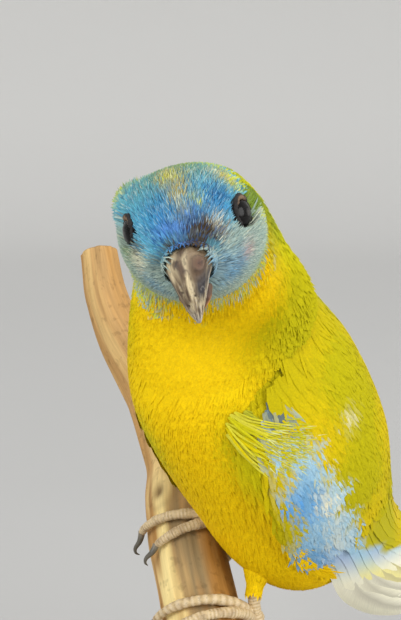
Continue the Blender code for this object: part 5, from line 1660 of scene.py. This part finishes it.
def branch_frame(at, slide):
    """Centre, radius, sideways and outward axes of the branch, slide millimetres past a place counted in sections."""
    step = 0.05
    ends = through(BRANCH_SECTIONS, np.array([at - step, at + step]))[:, :3]
    place = np.array(at + np.asarray(slide) / (np.linalg.norm(ends[1] - ends[0]) / (2 * step)))
    before, here, after = (through(BRANCH_SECTIONS, place + k * step) for k in (-1, 0, 1))
    return here[..., :3], here[..., 3], *square_to(unit(after[..., :3] - before[..., :3]))


def on_branch(at, angle, slide, lift):
    """World places above the bark: angle round the branch from the bird's left, slide along it, lift off it."""
    centre, radius, side, outward = branch_frame(at, slide)
    turned = np.radians(angle)[..., None]
    spoke = np.cos(turned) * side + np.sin(turned) * outward
    return centre + spoke * (radius + lift)[..., None]


def scaly_tube(path, radii, sides, seed, scute=SCUTE_LENGTH):
    """Rings, colours and grain of a scaly limb: each scute swells from its start and drops to the next one's, with
    painted shade in the groove between.
    """
    rings = tube(path, radii, sides)
    grain = ring_grain(rings)
    phase = (grain[..., 2] / scute + 0.25 * ripple(grain, 4.0, seed)) % 1.0
    swell = 0.05 * (np.sin(math.pi * phase) ** 0.6 - 0.5) + 0.05 * ripple(grain, 0.9, seed + 1)
    middle = rings.mean(1, keepdims=True)
    out = rings - middle
    rings = middle + out * (1 + swell / np.linalg.norm(out, axis=-1))[..., None]
    colours = blend_colours(FOOT_TAN, FOOT_CREAM, np.sin(math.pi * phase) ** 2 * 0.7)
    # Painted shade: brown in the grooves between the scutes; the brown stains are the skin's own
    groove_shade = np.exp(-((np.minimum(phase, 1 - phase) / 0.09) ** 2))
    stain = soft_step(0.3, 1.2, ripple(grain, 2.5, seed + 2))
    return rings, blend_colours(colours, FOOT_BROWN, 0.32 * groove_shade + 0.35 * stain), grain


foot_material = grain_material("scaly_skin_dry", (2.6, 1.0, 0.5, 0.25, 1.5, 0.55, 0.8), 0.5, 0.1)
claw_material = grain_material("claw_horn", (2.0, 3.0, 0.5, 0.2, 1.0, 0.3, 0.5), 0.3, 0.08)
for side_name, (at, pad_angle) in GRIPS.items():
    pad = on_branch(at, np.array(pad_angle), np.array(0.0), np.array(FOOT_GAP + PAD_RADIUS))
    knee, before = THIGHS[side_name][-1, :3], THIGHS[side_name][-2, :3]
    down = np.linspace(0, 2, SHANK_GRID[0])
    bones = through(np.array([knee + unit(before - knee) * SHANK_SUNK, knee, pad]), down)
    parts = [scaly_tube(bones, SHANK_RADIUS * (1 + 0.22 * np.exp(-((down - 2) / 0.25) ** 2)), SHANK_GRID[1], 100)]
    polar = np.linspace(0.03, math.pi - 0.03, PAD_RINGS)
    ball = pad + np.cos(polar)[:, None] * unit(knee - pad) * PAD_RADIUS
    parts.append(scaly_tube(ball, np.maximum(PAD_RADIUS * np.sin(polar), 0.06), SHANK_GRID[1], 110, PAD_SCUTE))
    claws = []
    for number, (end_angle, slide, claw) in enumerate(TOES):
        t = np.linspace(0, 1, TOE_GRID[0])
        radius = TOE_RADIUS + (TOE_TIP_RADIUS - TOE_RADIUS) * t
        joints = 1 + 0.13 * np.exp(-(((t - 0.36) / 0.05) ** 2)) + 0.12 * np.exp(-(((t - 0.68) / 0.05) ** 2))
        path = on_branch(at, pad_angle + (end_angle - pad_angle) * t, slide * t**0.7, TOE_LIFT + radius)
        end = radius * joints * np.sqrt(np.clip((1.015 - t) / 0.06, 0.02, 1))
        parts.append(scaly_tube(path, end, TOE_GRID[1], 120 + 10 * number))
        way = math.copysign(1.0, end_angle - pad_angle)
        hook = through(CLAW_HOOK, np.linspace(0, len(CLAW_HOOK) - 1, CLAW_GRID[0]))
        hook_angle = end_angle + way * hook[:, 0] * claw * 3.2
        path = on_branch(at, hook_angle, slide - hook[:, 0] * claw * 0.45, FOOT_GAP + hook[:, 1] + 0.3)
        rings = tube(path, hook[:, 2], CLAW_GRID[1])
        share = np.broadcast_to(hook[:, :1], rings.shape[:2])
        colours = blend_colours(CLAW_DARK, CLAW_PALE, 0.6 * soft_step(0.35, -0.1, share))
        claws.append((rings, colours, ring_grain(rings)))
    for name, group, material in (("foot_", parts, foot_material), ("claws_", claws, claw_material)):
        piece = join_pieces(name + side_name, [lofted_mesh("part", *part) for part in group], material)
        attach(piece, "root")
        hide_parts("leg_" + side_name)


# Thigh feathers: small tufts down each thigh to the bare shank.
THIGH_FIELD = ((0.1, 1.9), (0.0, 360.0), 0.95)
THIGH_LENGTH = 3.4
THIGH_LAYERS = ((BARB, 4, 0.5, 26, 0.08, 0.0),)


def thigh_at(rows):
    """Function that gives the place on a thigh: u in sections down it, v degrees round it, and lift."""
    last = len(rows) - 1

    def place(u, v, lift):
        u, v, lift = np.broadcast_arrays(np.asarray(u, float), np.radians(v), lift)
        row = through(rows, u)
        inside = np.minimum(u, last)
        down = unit(through(rows, inside + 0.05)[..., :3] - through(rows, inside - 0.05)[..., :3])
        side, other = square_to(down)
        spoke = np.cos(v)[..., None] * side - np.sin(v)[..., None] * other
        beyond = np.maximum(u - last, 0.0)[..., None] * 4.0 * down
        return row[..., :3] + beyond + (np.maximum(row[..., 3] - THIGH_INSET, THIGH_INSET) + lift)[..., None] * spoke

    return place


for side_name, rows in THIGHS.items():
    draw = np.random.default_rng(150 + len(side_name))
    place = thigh_at(rows)
    u, v = scatter(*THIGH_FIELD, place, draw)
    tint = YELLOW * draw.uniform(0.9, 1.05, (len(u), 1))
    patches = np.stack([v / 360 * 0.98, u / 2 * 0.98], -1)
    meshes = feather_layers(place, u, v, THIGH_LENGTH, (-0.1, 0.35), THIGH_LAYERS, tint, patches, draw, vary=0.12)
    thigh = join_pieces("thigh_feathers_" + side_name, meshes, coat_material)
    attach(thigh, "root")
    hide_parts("torso")


# Stand: a turned round base of dark satin wood and a brushed steel rod that runs up into the foot of the branch. It
# stands in for whatever holds the branch below the picture.
BASE_RADIUS, BASE_HEIGHT, BASE_ROUNDING = 50.0, 9.0, 1.5
ROD_RADIUS = 3.5
ROD_PLACE = (2.9, -21.6)
ROD_ENDS = (9.3, 43.7)
ROD_CHAMFER = 0.4
BASE_SIDES, ROD_SIDES = 160, 64
BASE_DARK = srgb(66, 52, 44)
STEEL_GREY = np.array((0.55, 0.55, 0.54))


def turned_profile(profile, centre, sides):
    """Rings of a turned piece: each pair of radius and height swept round a vertical axis at centre."""
    profile = np.array(profile, float)
    angle = np.linspace(0, 2 * math.pi, sides, endpoint=False)
    x = centre[0] + profile[:, :1] * np.cos(angle)
    y = centre[1] + profile[:, :1] * np.sin(angle)
    return np.stack([x, y, np.broadcast_to(profile[:, 1:], x.shape)], -1)


quarter = np.linspace(0, math.pi / 2, 8)
inner = BASE_RADIUS - BASE_ROUNDING
edge = [(inner + BASE_ROUNDING * math.sin(a), BASE_ROUNDING * (1 - math.cos(a))) for a in quarter]
edge += [(inner + BASE_ROUNDING * math.cos(a), BASE_HEIGHT - BASE_ROUNDING * (1 - math.sin(a))) for a in quarter]
flat_radii = np.linspace(0.5, inner - 0.5, 16)
profile = [(r, 0.0) for r in flat_radii] + edge + [(r, BASE_HEIGHT) for r in flat_radii[::-1]]
base_rings = turned_profile(profile, (0, 0), BASE_SIDES)
base_grain = base_rings[..., [1, 2, 0]]
base_colours = BASE_DARK * (1 + 0.22 * ripple(base_grain * np.array((1.0, 1.0, 0.08)), 9.0, 200))[..., None]
base_material = grain_material(
    "dark_satin_wood", (0.5, 18.0, 0.9, 0.2, 0.2, 0.28, 0.48), 0.12, 0.1, Coat_Weight=0.25, Coat_Roughness=0.25
)
base = add_piece("display_base", lofted_mesh("base", base_rings, base_colours, base_grain), base_material)
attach(base, "root")
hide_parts("stand_base")

low, high = ROD_ENDS
rod_profile = [(0.5, low), (ROD_RADIUS - ROD_CHAMFER, low), (ROD_RADIUS, low + ROD_CHAMFER)]
rod_profile += [(ROD_RADIUS, z) for z in np.linspace(low + 1.5, high - 1.5, 12)]
rod_profile += [(ROD_RADIUS, high - ROD_CHAMFER), (ROD_RADIUS - ROD_CHAMFER, high), (0.5, high)]
rod_rings = turned_profile(rod_profile, ROD_PLACE, ROD_SIDES)
rod_grain = (rod_rings - np.array((*ROD_PLACE, 0.0))) * np.array((0.15, 0.15, 1.0))
rod_colours = np.broadcast_to(STEEL_GREY, rod_rings.shape)
rod_material = grain_material("brushed_steel", (5.0, 0.2, 0.3, 0.0, 1.0, 0.22, 0.42), 0.08, 0.05, Metallic=1.0)
rod = add_piece("display_rod", lofted_mesh("rod", rod_rings, rod_colours, rod_grain), rod_material)
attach(rod, "root")
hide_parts("stand_rod")
